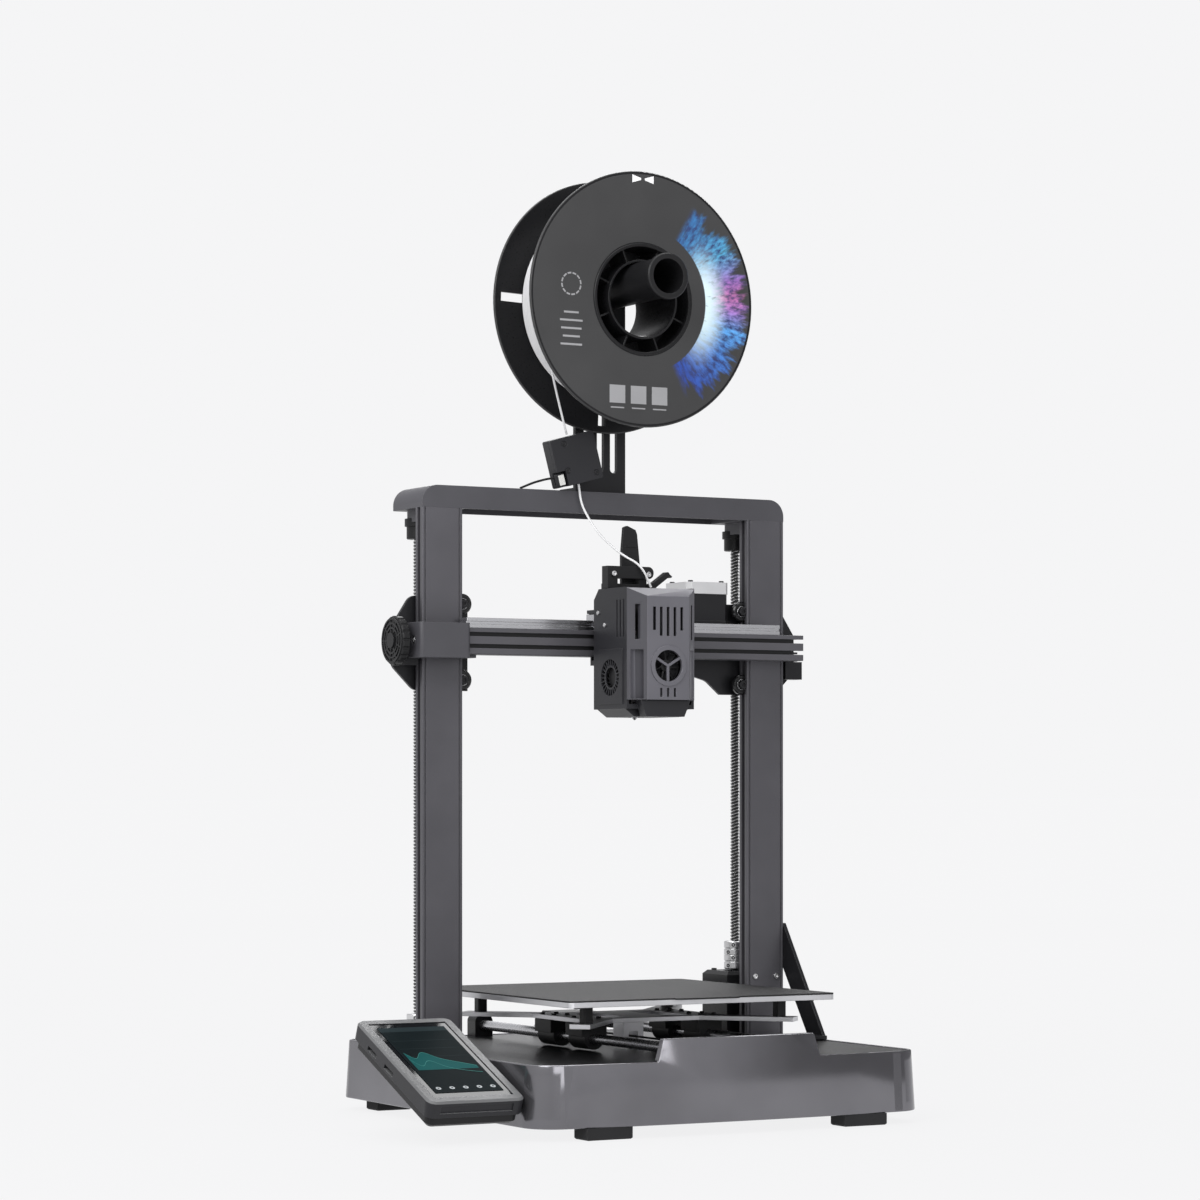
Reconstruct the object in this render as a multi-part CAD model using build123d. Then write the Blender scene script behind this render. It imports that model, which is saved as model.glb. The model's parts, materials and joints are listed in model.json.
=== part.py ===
from build123d import *
import math
import os

# Desktop filament printer with a moving bed, in millimetres, +Z up.
# The shapes are laid out in a machine frame: X = 0 midway between the two
# uprights (the touch screen is at -X), Y = 0 on the uprights' front faces
# (the back is at +Y) and Z = 0 on the table. write_parts moves them all so
# that the origin is at the centre of the whole footprint, on the table.

# ---------------------------------------------------------------- driving sizes
BASE_HALF = 170.5          # half width of the base at its foot
BASE_FRONT = -205.0        # the bowed front, at its middle
BASE_SHOULDER = -199.0     # the front where the bow ends
BASE_BACK = 137.0
BASE_BOTTOM = 9.0
BASE_TOP = 55.4
BASE_DRAFT = 3.5           # degrees
NOSE_TOP = 72.2
WALL = 2.6

UPRIGHT_OUTER = 164.8
UPRIGHT_INNER = 129.8
UPRIGHT_DEPTH = 12.0
CHANNEL_DEPTH = 6.0
CHANNEL_WIDTH = 5.0
COVER_BOTTOM = 474.5
COVER_TOP = 492.0
COVER_BACK = 54.0

SCREW_X = 146.0            # lead screws
SCREW_Y = 45.0
SCREW_R = 4.0
COUPLER_BOTTOM = {-1: 57.0, 1: 108.0}   # the left motor is in the base, the right in a tower
COUPLER_LENGTH = 23.0
LIFT_MOTOR_HALF = 17.5
TOWER_HALF = 19.5
TOWER_TOP = 107.0

BED_SIZE = 235.0
BED_MIDDLE = -32.5
BED_TOP = 98.7
SHEET = 1.2
PLATE = 4.0
POST_SPAN = 86.0
CARRIAGE_BOTTOM = 76.0
CARRIAGE_TOP = 79.5
ROD_X = 52.0
ROD_Z = 64.0
ROD_R = 4.0
DECK_TOP = 54.6
DECK_BOTTOM = 52.2

BEAM_FRONT = -22.0
BEAM_BACK = -2.0
BEAM_BOTTOM = 360.4
BEAM_TOP = 381.0
BEAM_LEFT = -176.0
BEAM_RIGHT = 170.0
BEAM_Y = (BEAM_FRONT + BEAM_BACK) / 2
RAIL_TOP = 389.0
BEAM_GROOVES = (366.9, 376.1)
BELT_MIDDLE = 370.6        # height of the X belt

WHEEL_R = 8.0
AXLE_R = 2.0
WHEEL_X = UPRIGHT_INNER + CHANNEL_DEPTH - WHEEL_R - 0.3
WHEEL_Y = UPRIGHT_DEPTH / 2
WHEEL_HEIGHTS = {"lower": 341.2, "upper": 400.5}
END_PLATE_Y = (14.5, 17.5)

MOTOR_X = 94.5             # X drive motor
MOTOR_Y = 20.5
MOTOR_HALF = 19.5
MOTOR_BOTTOM = 390.4
MOTOR_TOP = 423.5
PULLEY_R = 8.0
GUIDE_R = 6.0
BELT_THICK = 0.8

HEAD_HALF = 30.3
HEAD_FRONT = -94.5
HEAD_BACK = -31.0
HEAD_TOP = 413.0
HEAD_CHAMFER = 11.5
HEAD_EDGE = 404.9          # where the front face ends and the sloped top begins
SCOOP_R = 5.2              # hollow in each cut corner
SCOOP_TOP = 364.0
NOZZLE_Y = -42.3
NOZZLE_TIP = 310.4
BAR_BOTTOM = 421.0         # bracket bar over the extruder
BAR_TOP = 430.5
INLET = (8.5, -53.5)       # where the filament enters the head
LEVER_PIN = (12.5, -49.5, 414.8)
FAN_Z = 351.6
BLOWER_Y = -58.0
BLOWER_Z = 343.0

SPOOL_R = 100.0
SPOOL_FRONT = -55.5
SPOOL_BACK = 6.5
SPOOL_Z = 639.0
BORE_R = 29.4
WINDING_R = 76.0
TUBE_R = 15.6
TUBE_Z = SPOOL_Z + BORE_R - TUBE_R - 0.3
TUBE_FRONT = -95.0
BRACKET_Y = (12.0, 16.0)

SCREEN_RIGHT = -172.0
SCREEN_WIDTH = 79.0
SCREEN_LENGTH = 134.5
SCREEN_TILT = 22.9         # degrees
SCREEN_FRONT = -184.3      # front edge of the glass side
SCREEN_FRONT_Z = 31.7
SCREEN_THICK = 13.0

Y_MOTOR = 110.0
Y_IDLER = -186.0
Y_BELT_Z = 56.0
Y_PULLEY_R = 6.0

SENSOR = Pos(-33.5, -3, 516.3) * Rotation(0, -15, 0)
FILAMENT = 1.75
UPPER_STRAND = [(-70.9, -26, 608.5), (-56.3, -15, 571.9), (-39.2, -3, 536.2)]
LOWER_STRAND = [(-28.4, -3, 497.4), (-26.4, -4, 481), (-19.8, -17, 458.5), (-10.6, -38, 441),
                (0, -53.5, 431), (8.5, -53.5, 414.3)]
SENSOR_CABLE = [(-51.5, -4, 501.0), (-57.5, -3, 500.0), (-66, 2, 497.4), (-75, 8, 492.9)]

# ---------------------------------------------------------------- small helpers
LOW = (Align.CENTER, Align.CENTER, Align.MIN)
TURN = {"X": Rotation(0, 90, 0), "Y": Rotation(-90, 0, 0), "Z": Rotation(0, 0, 0)}


def block(x, y, z):
    """A box between (low, high) pairs."""
    size = [pair[1] - pair[0] for pair in (x, y, z)]
    middle = [(pair[1] + pair[0]) / 2 for pair in (x, y, z)]
    return Pos(*middle) * Box(*size)


def rod(radius, start, axis, length):
    """A cylinder that starts at a point and runs along +axis."""
    return Pos(*start) * TURN[axis] * Cylinder(radius, length, align=LOW)


def ring(outer, inner, start, axis, length):
    """A tube that starts at a point and runs along +axis."""
    return rod(outer, start, axis, length) - rod(inner, start, axis, length)


def outline_xz(points, y):
    """A solid from an outline of (x, z) points, between two y values."""
    plane = Plane(origin=(0, y[1], 0), x_dir=(1, 0, 0), z_dir=(0, -1, 0))
    return extrude(plane * make_face(Polyline(*points, close=True)), amount=y[1] - y[0])


def outline_yz(points, x):
    """A solid from an outline of (y, z) points, between two x values."""
    plane = Plane(origin=(x[0], 0, 0), x_dir=(0, 1, 0), z_dir=(1, 0, 0))
    return extrude(plane * make_face(Polyline(*points, close=True)), amount=x[1] - x[0])


def mirrored(shape):
    """The same shape on the other side of the middle plane."""
    return mirror(shape, about=Plane.YZ)


def round_edges(shape, axis, radius, pick):
    """Round the edges along an axis that pick accepts."""
    return fillet([edge for edge in shape.edges().filter_by(axis) if pick(edge.center())], radius)


# ---------------------------------------------------------------- base
def base_face(inset):
    """The base's plan: straight sides and back, a bowed front, round corners."""
    half = BASE_HALF - inset
    front, shoulder, back = BASE_FRONT + inset, BASE_SHOULDER + inset, BASE_BACK - inset
    bow = ThreePointArc((-140, shoulder), (0, front), (140, shoulder))
    sides = Polyline((140, shoulder), (half, shoulder + 3), (half, back), (-half, back),
                     (-half, shoulder + 3), (-140, shoulder))
    face = make_face([bow, sides])
    front_corners = [v for v in face.vertices() if abs(v.X) > 141 and v.Y < 0]
    face = fillet(front_corners, 25 - inset)
    back_corners = [v for v in face.vertices() if abs(v.X) > half - 1 and v.Y > back - 1]
    return fillet(back_corners, 15 - inset)


def base_solid(inset, bottom, top):
    """The drafted body of the base between two heights."""
    body = extrude(Pos(0, 0, BASE_BOTTOM) * base_face(inset), amount=NOSE_TOP - BASE_BOTTOM,
                   taper=BASE_DRAFT)
    return body & block((-200, 200), (-230, 160), (bottom, top))


def nose_prism(inset):
    """The raised bridge at the front, a trapezoid seen from the front."""
    return outline_xz([(-73 + inset, BASE_TOP - 8), (-66 + inset, NOSE_TOP - inset),
                       (66 - inset, NOSE_TOP - inset), (73 - inset, BASE_TOP - 8)],
                      (-230, BASE_FRONT + 11 - inset))


def base_shell():
    outer = base_solid(0, BASE_BOTTOM, BASE_TOP)
    outer = outer + (base_solid(0, BASE_TOP - 8, NOSE_TOP) & nose_prism(0))
    hollow = base_solid(WALL, BASE_BOTTOM, BASE_TOP)
    shell = outer - hollow
    ledge = base_solid(WALL, 49.0, DECK_BOTTOM) - base_solid(WALL + 3, 49.0, DECK_BOTTOM)
    ledge = ledge - block((-200, 200), (-0.5, UPRIGHT_DEPTH + 0.5), (48, 53))
    ledge = ledge - block((-200, 0), (SCREW_Y - TOWER_HALF, SCREW_Y + TOWER_HALF), (48, 53))
    inlet = block((96, 128), (BASE_BACK - 12, BASE_BACK + 3), (18, 42))
    switch = block((131.5, 146.5), (BASE_BACK - 12, BASE_BACK + 3), (19, 41))
    return shell + ledge - inlet - switch


def rear_inside():
    """Y of the rear wall's inner face, half way up."""
    return BASE_BACK - WALL - math.tan(math.radians(BASE_DRAFT)) * 21


def base_plate():
    plate = extrude(Pos(0, 0, BASE_BOTTOM) * base_face(WALL + 0.2), amount=2.5)
    vents = [block((x, x + 4), (-60, 20), (BASE_BOTTOM, 12)) for x in range(-130, -70, 10)]
    return plate - vents


def base_deck():
    """Black top of the base, with a tower over the right Z motor."""
    deck = base_solid(WALL + 0.3, DECK_BOTTOM, DECK_TOP)
    deck = deck - block((-7, 7), (-196, 128), (50, 58))
    deck = deck - block((7, 41.5), (Y_MOTOR - 18.5, Y_MOTOR + 18.5), (50, 58))
    deck = deck - block((-80, 80), (-230, BASE_FRONT + 11.3), (50, 58))
    for side in (-1, 1):
        foot = block(sorted((side * (UPRIGHT_INNER - 0.3), side * (UPRIGHT_OUTER + 0.3))),
                     (-0.3, UPRIGHT_DEPTH + 0.3), (50, 58))
        deck = deck - foot
    plan = (SCREW_Y - TOWER_HALF, SCREW_Y + TOWER_HALF)
    tower = block((SCREW_X - TOWER_HALF, SCREW_X + TOWER_HALF), plan, (BASE_TOP, TOWER_TOP))
    tower = chamfer(tower.edges().group_by(Axis.Z)[-1], 3)
    riser = block((SCREW_X - TOWER_HALF, UPRIGHT_OUTER - 0.2), plan, (DECK_BOTTOM, BASE_TOP))
    inner = LIFT_MOTOR_HALF + 0.4
    room = block((SCREW_X - inner, SCREW_X + inner), (SCREW_Y - inner, SCREW_Y + inner),
                 (DECK_BOTTOM, TOWER_TOP - 2.5))
    deck = deck + tower + riser - room
    deck = deck - rod(10, (SCREW_X, SCREW_Y, 90), "Z", 30)
    return deck - rod(10, (-SCREW_X, SCREW_Y, 50), "Z", 8)


def feet():
    front = [block(pair, (-201, -181), (0, BASE_BOTTOM)) for pair in ((-131, -93), (93, 131))]
    back = [block(pair, (95, 115), (0, BASE_BOTTOM)) for pair in ((-157, -127), (127, 157))]
    return Compound([chamfer(pad.edges().group_by(Axis.Z)[0], 1.0) for pad in front + back])


def power_supply():
    case = block((-124, -20), (-110, 60), (11.5, 47.0))
    case = fillet(case.edges().filter_by(Axis.Z), 2)
    vents = [block((-125, -121), (y, y + 4), (18, 40)) for y in range(-95, 45, 10)]
    return case - vents


def mainboard():
    board = block((52, 150), (-120, -18), (17.0, 18.6))
    chips = [block((66 + 18 * i, 78 + 18 * i), (-60, -48), (18.6, 24.0)) for i in range(4)]
    sockets = [block((60, 140), (-116, -106), (18.6, 28.0)), block((84, 104), (-92, -72), (18.6, 20.2))]
    legs = [rod(3, (x, y, 11.5), "Z", 5.5) for x in (56, 146) for y in (-114, -24)]
    return board + chips + sockets + legs


def power_inlet():
    inner = rear_inside()
    flange = block((96.2, 127.8), (inner - 4, BASE_BACK + 0.6), (18.2, 41.8))
    socket = block((101, 123), (BASE_BACK - 16, BASE_BACK + 2), (23, 38))
    body = block((98, 126), (BASE_BACK - 24, BASE_BACK - 10), (20, 40)) + flange
    pins = [block((x - 1, x + 1), (BASE_BACK - 17, BASE_BACK - 9), (z - 1.2, z + 1.2))
            for x, z in ((106, 29), (112, 32), (118, 29))]
    frame = block((131.7, 146.3), (inner - 4, BASE_BACK + 0.6), (19.2, 40.8))
    window = block((134, 144), (BASE_BACK - 14, BASE_BACK + 2), (21.5, 38.5))
    frame = frame + block((131.7, 146.3), (BASE_BACK - 15, inner - 3), (19.2, 40.8)) - window
    link = block((125, 133), (BASE_BACK - 15, BASE_BACK - 11), (24, 36))
    return body - socket + pins + frame + link


def power_switch():
    """Rocker, resting with its lower half pressed in."""
    profile = [(BASE_BACK - 7, 22.6), (BASE_BACK - 1.4, 22.6), (BASE_BACK - 0.6, 30.0),
               (BASE_BACK + 1.8, 37.4), (BASE_BACK - 7, 37.4)]
    pin = rod(1.2, (134.1, BASE_BACK - 4, 30), "X", 9.8)
    return outline_yz(profile, (134.3, 143.7)) + pin


# ---------------------------------------------------------------- upright frame
def upright(side):
    """Extrusion with a roller channel down each side face."""
    post = block((UPRIGHT_INNER, UPRIGHT_OUTER), (0, UPRIGHT_DEPTH), (11.5, COVER_BOTTOM))
    post = fillet(post.edges().filter_by(Axis.Z), 0.8)
    low_y, high_y = WHEEL_Y - CHANNEL_WIDTH / 2, WHEEL_Y + CHANNEL_WIDTH / 2
    inner = block((UPRIGHT_INNER, UPRIGHT_INNER + CHANNEL_DEPTH), (low_y, high_y), (11, 480))
    outer = block((UPRIGHT_OUTER - CHANNEL_DEPTH, UPRIGHT_OUTER), (low_y, high_y), (11, 480))
    lines = [block((x - 0.7, x + 0.7), (0, 1.0), (11, 480))
             for x in (UPRIGHT_INNER + 2.6, UPRIGHT_OUTER - 2.6)]
    slot = block((SCREW_X - 2, SCREW_X + 5), (UPRIGHT_DEPTH - 3.5, UPRIGHT_DEPTH), (11, 480))
    post = post - inner - outer - lines - slot
    return post if side > 0 else mirrored(post)


def top_cover():
    """Long cap over both uprights, open underneath between them."""
    cap = block((-UPRIGHT_OUTER, UPRIGHT_OUTER), (0, COVER_BACK), (COVER_BOTTOM, COVER_TOP))
    cap = round_edges(cap, Axis.Y, 13.5, lambda c: c.Z > COVER_TOP - 1)
    cap = round_edges(cap, Axis.Z, 4, lambda c: c.Y > COVER_BACK - 1)
    inside = block((-126, 126), (2.5, COVER_BACK - 2.5), (COVER_BOTTOM, COVER_TOP - 2.5))
    ribs = [block((x - 1, x + 1), (2, COVER_BACK - 2), (COVER_BOTTOM + 4, COVER_TOP - 2))
            for x in range(-90, 91, 45)]
    cap = cap - inside + ribs
    for side in (-1, 1):
        start = (side * SCREW_X, SCREW_Y, COVER_BOTTOM - 9)
        boss = rod(8.5, start, "Z", 10) + block((side * SCREW_X - 8.5, side * SCREW_X + 8.5),
                                                (18, SCREW_Y), (COVER_BOTTOM - 9, COVER_BOTTOM))
        cap = cap + boss - rod(SCREW_R + 0.05, start, "Z", 16)
    return cap


def side_brace():
    """Flat strut from the right upright down and forward to the base."""
    top_y, top_z = 2.0, 128.5
    slope = math.radians(35)
    foot_y = top_y - (top_z - BASE_TOP) * math.tan(slope)
    half = 9.5 / math.cos(slope)
    strip = outline_yz([(foot_y - half, BASE_TOP), (foot_y + half, BASE_TOP),
                        (UPRIGHT_DEPTH, top_z + 10 / math.tan(slope) - half / math.tan(slope)),
                        (UPRIGHT_DEPTH, top_z + 10 / math.tan(slope) + 4),
                        (top_y - 1, top_z + 10 / math.tan(slope) + 4)],
                       (UPRIGHT_OUTER, UPRIGHT_OUTER + 3))
    tab = block((UPRIGHT_OUTER - 14, UPRIGHT_OUTER + 3), (foot_y - half, foot_y + half), (BASE_TOP, BASE_TOP + 3))
    return strip + tab


def y_rods():
    start = BASE_FRONT + 11
    rods = [rod(ROD_R, (x, start, ROD_Z), "Y", 131 - start) for x in (-ROD_X, ROD_X)]
    return Compound(rods)


def rod_holders():
    """Blocks that clamp the rods' back ends to the deck."""
    blocks = []
    for x in (-ROD_X, ROD_X):
        holder = block((x - 8, x + 8), (113, 127), (DECK_TOP, ROD_Z + 8))
        holder = fillet(holder.edges().filter_by(Axis.Y).group_by(Axis.Z)[-1], 5)
        blocks.append(holder - rod(ROD_R, (x, 100, ROD_Z), "Y", 40))
    return blocks


def y_motor():
    """Square stepper motor with its shaft along X."""
    case = block((8.5, 40), (Y_MOTOR - 17.5, Y_MOTOR + 17.5), (Y_BELT_Z - 17.5, Y_BELT_Z + 17.5))
    case = chamfer(case.edges().filter_by(Axis.X), 3.0)
    return case + rod(9, (7, Y_MOTOR, Y_BELT_Z), "X", 2) + rod(2.5, (-6, Y_MOTOR, Y_BELT_Z), "X", 20)


def y_belt():
    """Closed loop under the bed, round the motor pulley and the front idler."""
    loops = []
    for radius in (Y_PULLEY_R + 0.1 + BELT_THICK, Y_PULLEY_R + 0.1):
        middle = block((-3, 3), (Y_IDLER, Y_MOTOR), (Y_BELT_Z - radius, Y_BELT_Z + radius))
        ends = rod(radius, (-3, Y_IDLER, Y_BELT_Z), "X", 6) + rod(radius, (-3, Y_MOTOR, Y_BELT_Z), "X", 6)
        loops.append(middle + ends)
    return loops[0] - loops[1]


def y_pulley(y, bore):
    """Flanged pulley that turns about X."""
    core = rod(Y_PULLEY_R, (-3.4, y, Y_BELT_Z), "X", 6.8)
    rims = [rod(Y_PULLEY_R + 2, (x, y, Y_BELT_Z), "X", 1.2) for x in (-4.6, 3.4)]
    return core + rims - rod(bore, (-5, y, Y_BELT_Z), "X", 10)


def z_motors():
    """The left lift motor under the deck, and the right one in its tower."""
    motors = []
    for side, low, high in ((-1, BASE_BOTTOM + 2.5, DECK_BOTTOM), (1, 64, TOWER_TOP - 2.5)):
        x = side * SCREW_X
        half = LIFT_MOTOR_HALF
        case = block((x - half, x + half), (SCREW_Y - half, SCREW_Y + half), (low, high))
        case = chamfer(case.edges().filter_by(Axis.Z), 3.0)
        shaft = rod(2.5, (x, SCREW_Y, high - 0.5), "Z", COUPLER_BOTTOM[side] + 8 - high)
        motors.append(case + shaft)
    return Compound(motors)


def lead_screw(side):
    """Lead screw and its coupler, as two solids."""
    x = side * SCREW_X
    low = COUPLER_BOTTOM[side]
    middle, top = low + 13, COVER_BOTTOM + 5
    screw = rod(SCREW_R, (x, SCREW_Y, middle), "Z", top - middle)
    coupler = rod(9, (x, SCREW_Y, low), "Z", COUPLER_LENGTH)
    coupler = chamfer(coupler.edges().filter_by(GeomType.CIRCLE), 0.8)
    coupler = coupler - rod(SCREW_R, (x, SCREW_Y, middle), "Z", COUPLER_LENGTH)
    coupler = coupler - rod(2.55, (x, SCREW_Y, low - 1), "Z", 14.5)
    saw_cuts = [block((x, x + 10), (SCREW_Y - 10, SCREW_Y + 10), (z, z + 0.8)) for z in (low + 6, low + 19)]
    return Compound([screw, coupler - saw_cuts])


# ---------------------------------------------------------------- bed
def build_sheet():
    y0, y1 = BED_MIDDLE - BED_SIZE / 2, BED_MIDDLE + BED_SIZE / 2
    sheet = block((-BED_SIZE / 2, BED_SIZE / 2), (y0, y1), (BED_TOP - SHEET, BED_TOP))
    sheet = fillet(sheet.edges().filter_by(Axis.Z), 4)
    tab = block((-28, 28), (y0 - 7, y0 + 1), (BED_TOP - SHEET, BED_TOP))
    return sheet + fillet(tab.edges().filter_by(Axis.Z), 3.9)


def heated_bed():
    half = BED_SIZE / 2
    top = BED_TOP - SHEET
    plate = block((-half, half), (BED_MIDDLE - half, BED_MIDDLE + half), (top - PLATE, top))
    return fillet(plate.edges().filter_by(Axis.Z), 4)


def bed_posts():
    """Four spacers, and the screw heads seen under the carriage."""
    posts = []
    for x in (-POST_SPAN, POST_SPAN):
        for y in (BED_MIDDLE - POST_SPAN, BED_MIDDLE + POST_SPAN):
            post = block((x - 4, x + 4), (y - 4, y + 4), (CARRIAGE_TOP, BED_TOP - SHEET - PLATE))
            posts.append(fillet(post.edges().filter_by(Axis.Z), 1.2))
    return Compound(posts)


def bed_carriage():
    """Silver plate with four arms, and the clamp that grips the belt."""
    z = (CARRIAGE_BOTTOM, CARRIAGE_TOP)
    middle = BED_MIDDLE
    plate = block((-62, 62), (middle - 44, middle + 44), z)
    for x in (-1, 1):
        for y in (-1, 1):
            arm = Pos(x * 70, middle + y * 66, (z[0] + z[1]) / 2) * Rotation(0, 0, x * y * 47)
            plate = plate + arm * Box(76, 16, z[1] - z[0])
    windows = [block(sorted((x * 16, x * 38)), (middle - 30, middle + 30), z) for x in (-1, 1)]
    plate = plate - windows
    stem = block((-9, 9), (middle - 8, middle + 8), (Y_BELT_Z + 10, z[0]))
    jaws = block((-9, -4.2), (middle - 8, middle + 8), (Y_BELT_Z + 3.4, z[0]))
    jaws = jaws + block((4.2, 9), (middle - 8, middle + 8), (Y_BELT_Z + 3.4, z[0]))
    return plate + stem + jaws


def y_bearings():
    """Four linear bearings in round-topped housings."""
    parts = []
    for x in (-ROD_X, ROD_X):
        for y in (BED_MIDDLE - 25, BED_MIDDLE + 25):
            body = rod(8.5, (x, y - 13, ROD_Z), "Y", 26)
            body = body + block((x - 11, x + 11), (y - 13, y + 13), (ROD_Z + 2, CARRIAGE_BOTTOM))
            parts.append(body - rod(ROD_R + 0.05, (x, y - 14, ROD_Z), "Y", 28))
    return Compound(parts)


# ---------------------------------------------------------------- gantry
def x_beam():
    """Hollow extrusion with two front grooves, a belt window and a clamp slot."""
    beam = block((BEAM_LEFT, BEAM_RIGHT), (BEAM_FRONT, BEAM_BACK), (BEAM_BOTTOM, BEAM_TOP))
    beam = fillet(beam.edges().filter_by(Axis.X), 0.8)
    inside = (BEAM_FRONT + 2.8, BEAM_BACK - 2.8)
    hollow = block((BEAM_LEFT - 1, BEAM_RIGHT + 1), inside, (BEAM_BOTTOM + 2.6, BEAM_TOP - 2.6))
    grooves = [block((BEAM_LEFT - 1, BEAM_RIGHT + 1), (BEAM_FRONT, BEAM_FRONT + 2.0), (z - 1.6, z + 1.6))
               for z in BEAM_GROOVES]
    prongs = [block((BEAM_RIGHT - 10, BEAM_RIGHT), (BEAM_FRONT, BEAM_BACK), (z - 1.6, z + 1.6))
              for z in BEAM_GROOVES]
    slot = block((-152, 100), (BEAM_FRONT + 4.0, BEAM_FRONT + 7.4), (BEAM_BOTTOM - 1, BEAM_BOTTOM + 4))
    window = block((MOTOR_X - 21, MOTOR_X + 11), (BEAM_BACK - 4, BEAM_BACK + 1),
                   (BELT_MIDDLE - 5, BELT_MIDDLE + 5))
    guide = rod(GUIDE_R - 0.5, (MOTOR_X + 2, BEAM_Y, BEAM_BOTTOM + 2), "Z", 16)
    return beam - hollow - grooves - prongs - slot - window + guide


def x_rail():
    """Steel guide rail on top of the beam."""
    rail = block((-135.2, 150), (BEAM_Y - 6, BEAM_Y + 6), (BEAM_TOP, RAIL_TOP))
    waist = [block((-151, 151), pair, (BEAM_TOP + 3, BEAM_TOP + 5.2))
             for pair in ((BEAM_Y - 6, BEAM_Y - 4.8), (BEAM_Y + 4.8, BEAM_Y + 6))]
    holes = [rod(3.0, (x, BEAM_Y, RAIL_TOP - 4), "Z", 5) for x in range(-123, 140, 25)]
    return rail - waist - holes


def wheel_axles(side):
    """Pins on an end plate that carry its two rollers."""
    y0 = UPRIGHT_DEPTH / 2 - 3.2
    return [rod(AXLE_R, (side * WHEEL_X, y0, z), "Y", END_PLATE_Y[1] - y0 + 2) for z in WHEEL_HEIGHTS.values()]


def nut_arm(side):
    """Arm that reaches back from an end plate to the lead screw."""
    x = side * SCREW_X
    arm = block((x - 14, x + 14), (END_PLATE_Y[0], SCREW_Y), (361, 369)) + rod(14, (x, SCREW_Y, 361), "Z", 8)
    return arm - rod(5.6, (x, SCREW_Y, 355), "Z", 20)


def plate_outline(side):
    """The end plate seen from the front."""
    points = [(118, 333), (165, 333), (184, 352), (184, 382), (168, 406.6), (118, 406.6)]
    return [(side * x, z) for x, z in points]


def left_end_plate():
    plate = outline_xz(plate_outline(-1), END_PLATE_Y)
    plate = round_edges(plate, Axis.Y, 9, lambda c: c.X < -160)
    shoulder = block((-184, -168.3), (0, END_PLATE_Y[0]), (352, 384))
    boss = block((BEAM_LEFT, -168.3), (BEAM_BACK, 1), (361, 380))
    return plate + shoulder + boss + wheel_axles(-1) + nut_arm(-1)


def right_end_plate():
    """End plate with the X motor's bracket."""
    plate = outline_xz(plate_outline(1), END_PLATE_Y)
    bracket = outline_xz([(52, 348.5), (84, 348.5), (100, 344), (113, 333), (125, 333), (125, 388),
                          (52, 388)], END_PLATE_Y)
    bracket = round_edges(bracket, Axis.Y, 12, lambda c: 83 < c.X < 101)
    shelf = block((MOTOR_X - 22, MOTOR_X + 22), (1, 42), (387.6, MOTOR_BOTTOM))
    shelf = shelf - rod(9, (MOTOR_X, MOTOR_Y, 380), "Z", 20)
    window = block((MOTOR_X - 11, MOTOR_X + 11), (10, 30), (BELT_MIDDLE - 7, BELT_MIDDLE + 7))
    post_x = MOTOR_X - PULLEY_R - GUIDE_R
    post = rod(GUIDE_R - 0.5, (post_x, BEAM_Y + 2 * GUIDE_R, BELT_MIDDLE - 4), "Z", 22)
    post = post - block((post_x - 10, post_x + 10), (-10, BEAM_BACK + 0.3), (BELT_MIDDLE + 4, 400))
    foot = block((168.3, 184), (2, END_PLATE_Y[0]), (346, BEAM_BOTTOM))
    plate = plate + bracket + shelf - window + foot + wheel_axles(1) + nut_arm(1)
    return plate + post


def beam_end_cover():
    """Grey cap over the beam's left end, wrapping its front and outer side."""
    cap = block((-178.5, -135.5), (-25.0, -0.5), (BEAM_BOTTOM - 3, BEAM_TOP + 3.5))
    cap = round_edges(cap, Axis.Z, 2.5, lambda c: c.Y < -24)
    room = block((-177, -135), (-23.2, 2), (BEAM_BOTTOM - 1, BEAM_TOP + 1.5))
    lip = block((-136, -125.5), (-14.5, -4), (BEAM_BOTTOM - 2.5, BEAM_BOTTOM))
    return cap - room - rod(3.2, (-180, -12, 371), "X", 4) + lip


def x_motor():
    """Square stepper motor on end, its shaft pointing down."""
    low, high = MOTOR_BOTTOM, MOTOR_TOP
    square = ((MOTOR_X - MOTOR_HALF, MOTOR_X + MOTOR_HALF), (MOTOR_Y - MOTOR_HALF, MOTOR_Y + MOTOR_HALF))
    case = block(*square, (low, high))
    case = chamfer(case.edges().filter_by(Axis.Z), 3.5)
    step = block((square[0][0] - 1, square[0][1] + 1), (square[1][0] - 1, square[1][1] + 1), (low + 2, high - 9.5))
    core = block((square[0][0] + 0.5, square[0][1] - 0.5), (square[1][0] + 0.5, square[1][1] - 0.5),
                 (low + 2, high - 9.5))
    case = case - (step - chamfer(core.edges().filter_by(Axis.Z), 3.5))
    return case + rod(2.5, (MOTOR_X, MOTOR_Y, 360), "Z", low - 359)


def x_belt():
    """Closed loop: along the beam, back through its window and round the motor's pulley."""
    front, back = BEAM_Y - GUIDE_R, BEAM_Y + GUIDE_R
    right, left = MOTOR_X + PULLEY_R, MOTOR_X - PULLEY_R
    far = MOTOR_Y + PULLEY_R
    points = [(-150 - GUIDE_R, front), (right, front), (right, far), (left, far), (left, back),
              (-150 - GUIDE_R, back)]
    radii = [GUIDE_R, GUIDE_R, PULLEY_R, PULLEY_R, GUIDE_R, GUIDE_R]
    face = make_face(Polyline(*points, close=True))
    for (px, py), radius in zip(points, radii):
        corner = [v for v in face.vertices() if abs(v.X - px) < 0.01 and abs(v.Y - py) < 0.01]
        face = fillet(corner, radius - 0.01)
    bottom = Pos(0, 0, BELT_MIDDLE - 3)
    return extrude(bottom * offset(face, BELT_THICK / 2), amount=6) - extrude(
        bottom * offset(face, -BELT_THICK / 2), amount=6)


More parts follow.
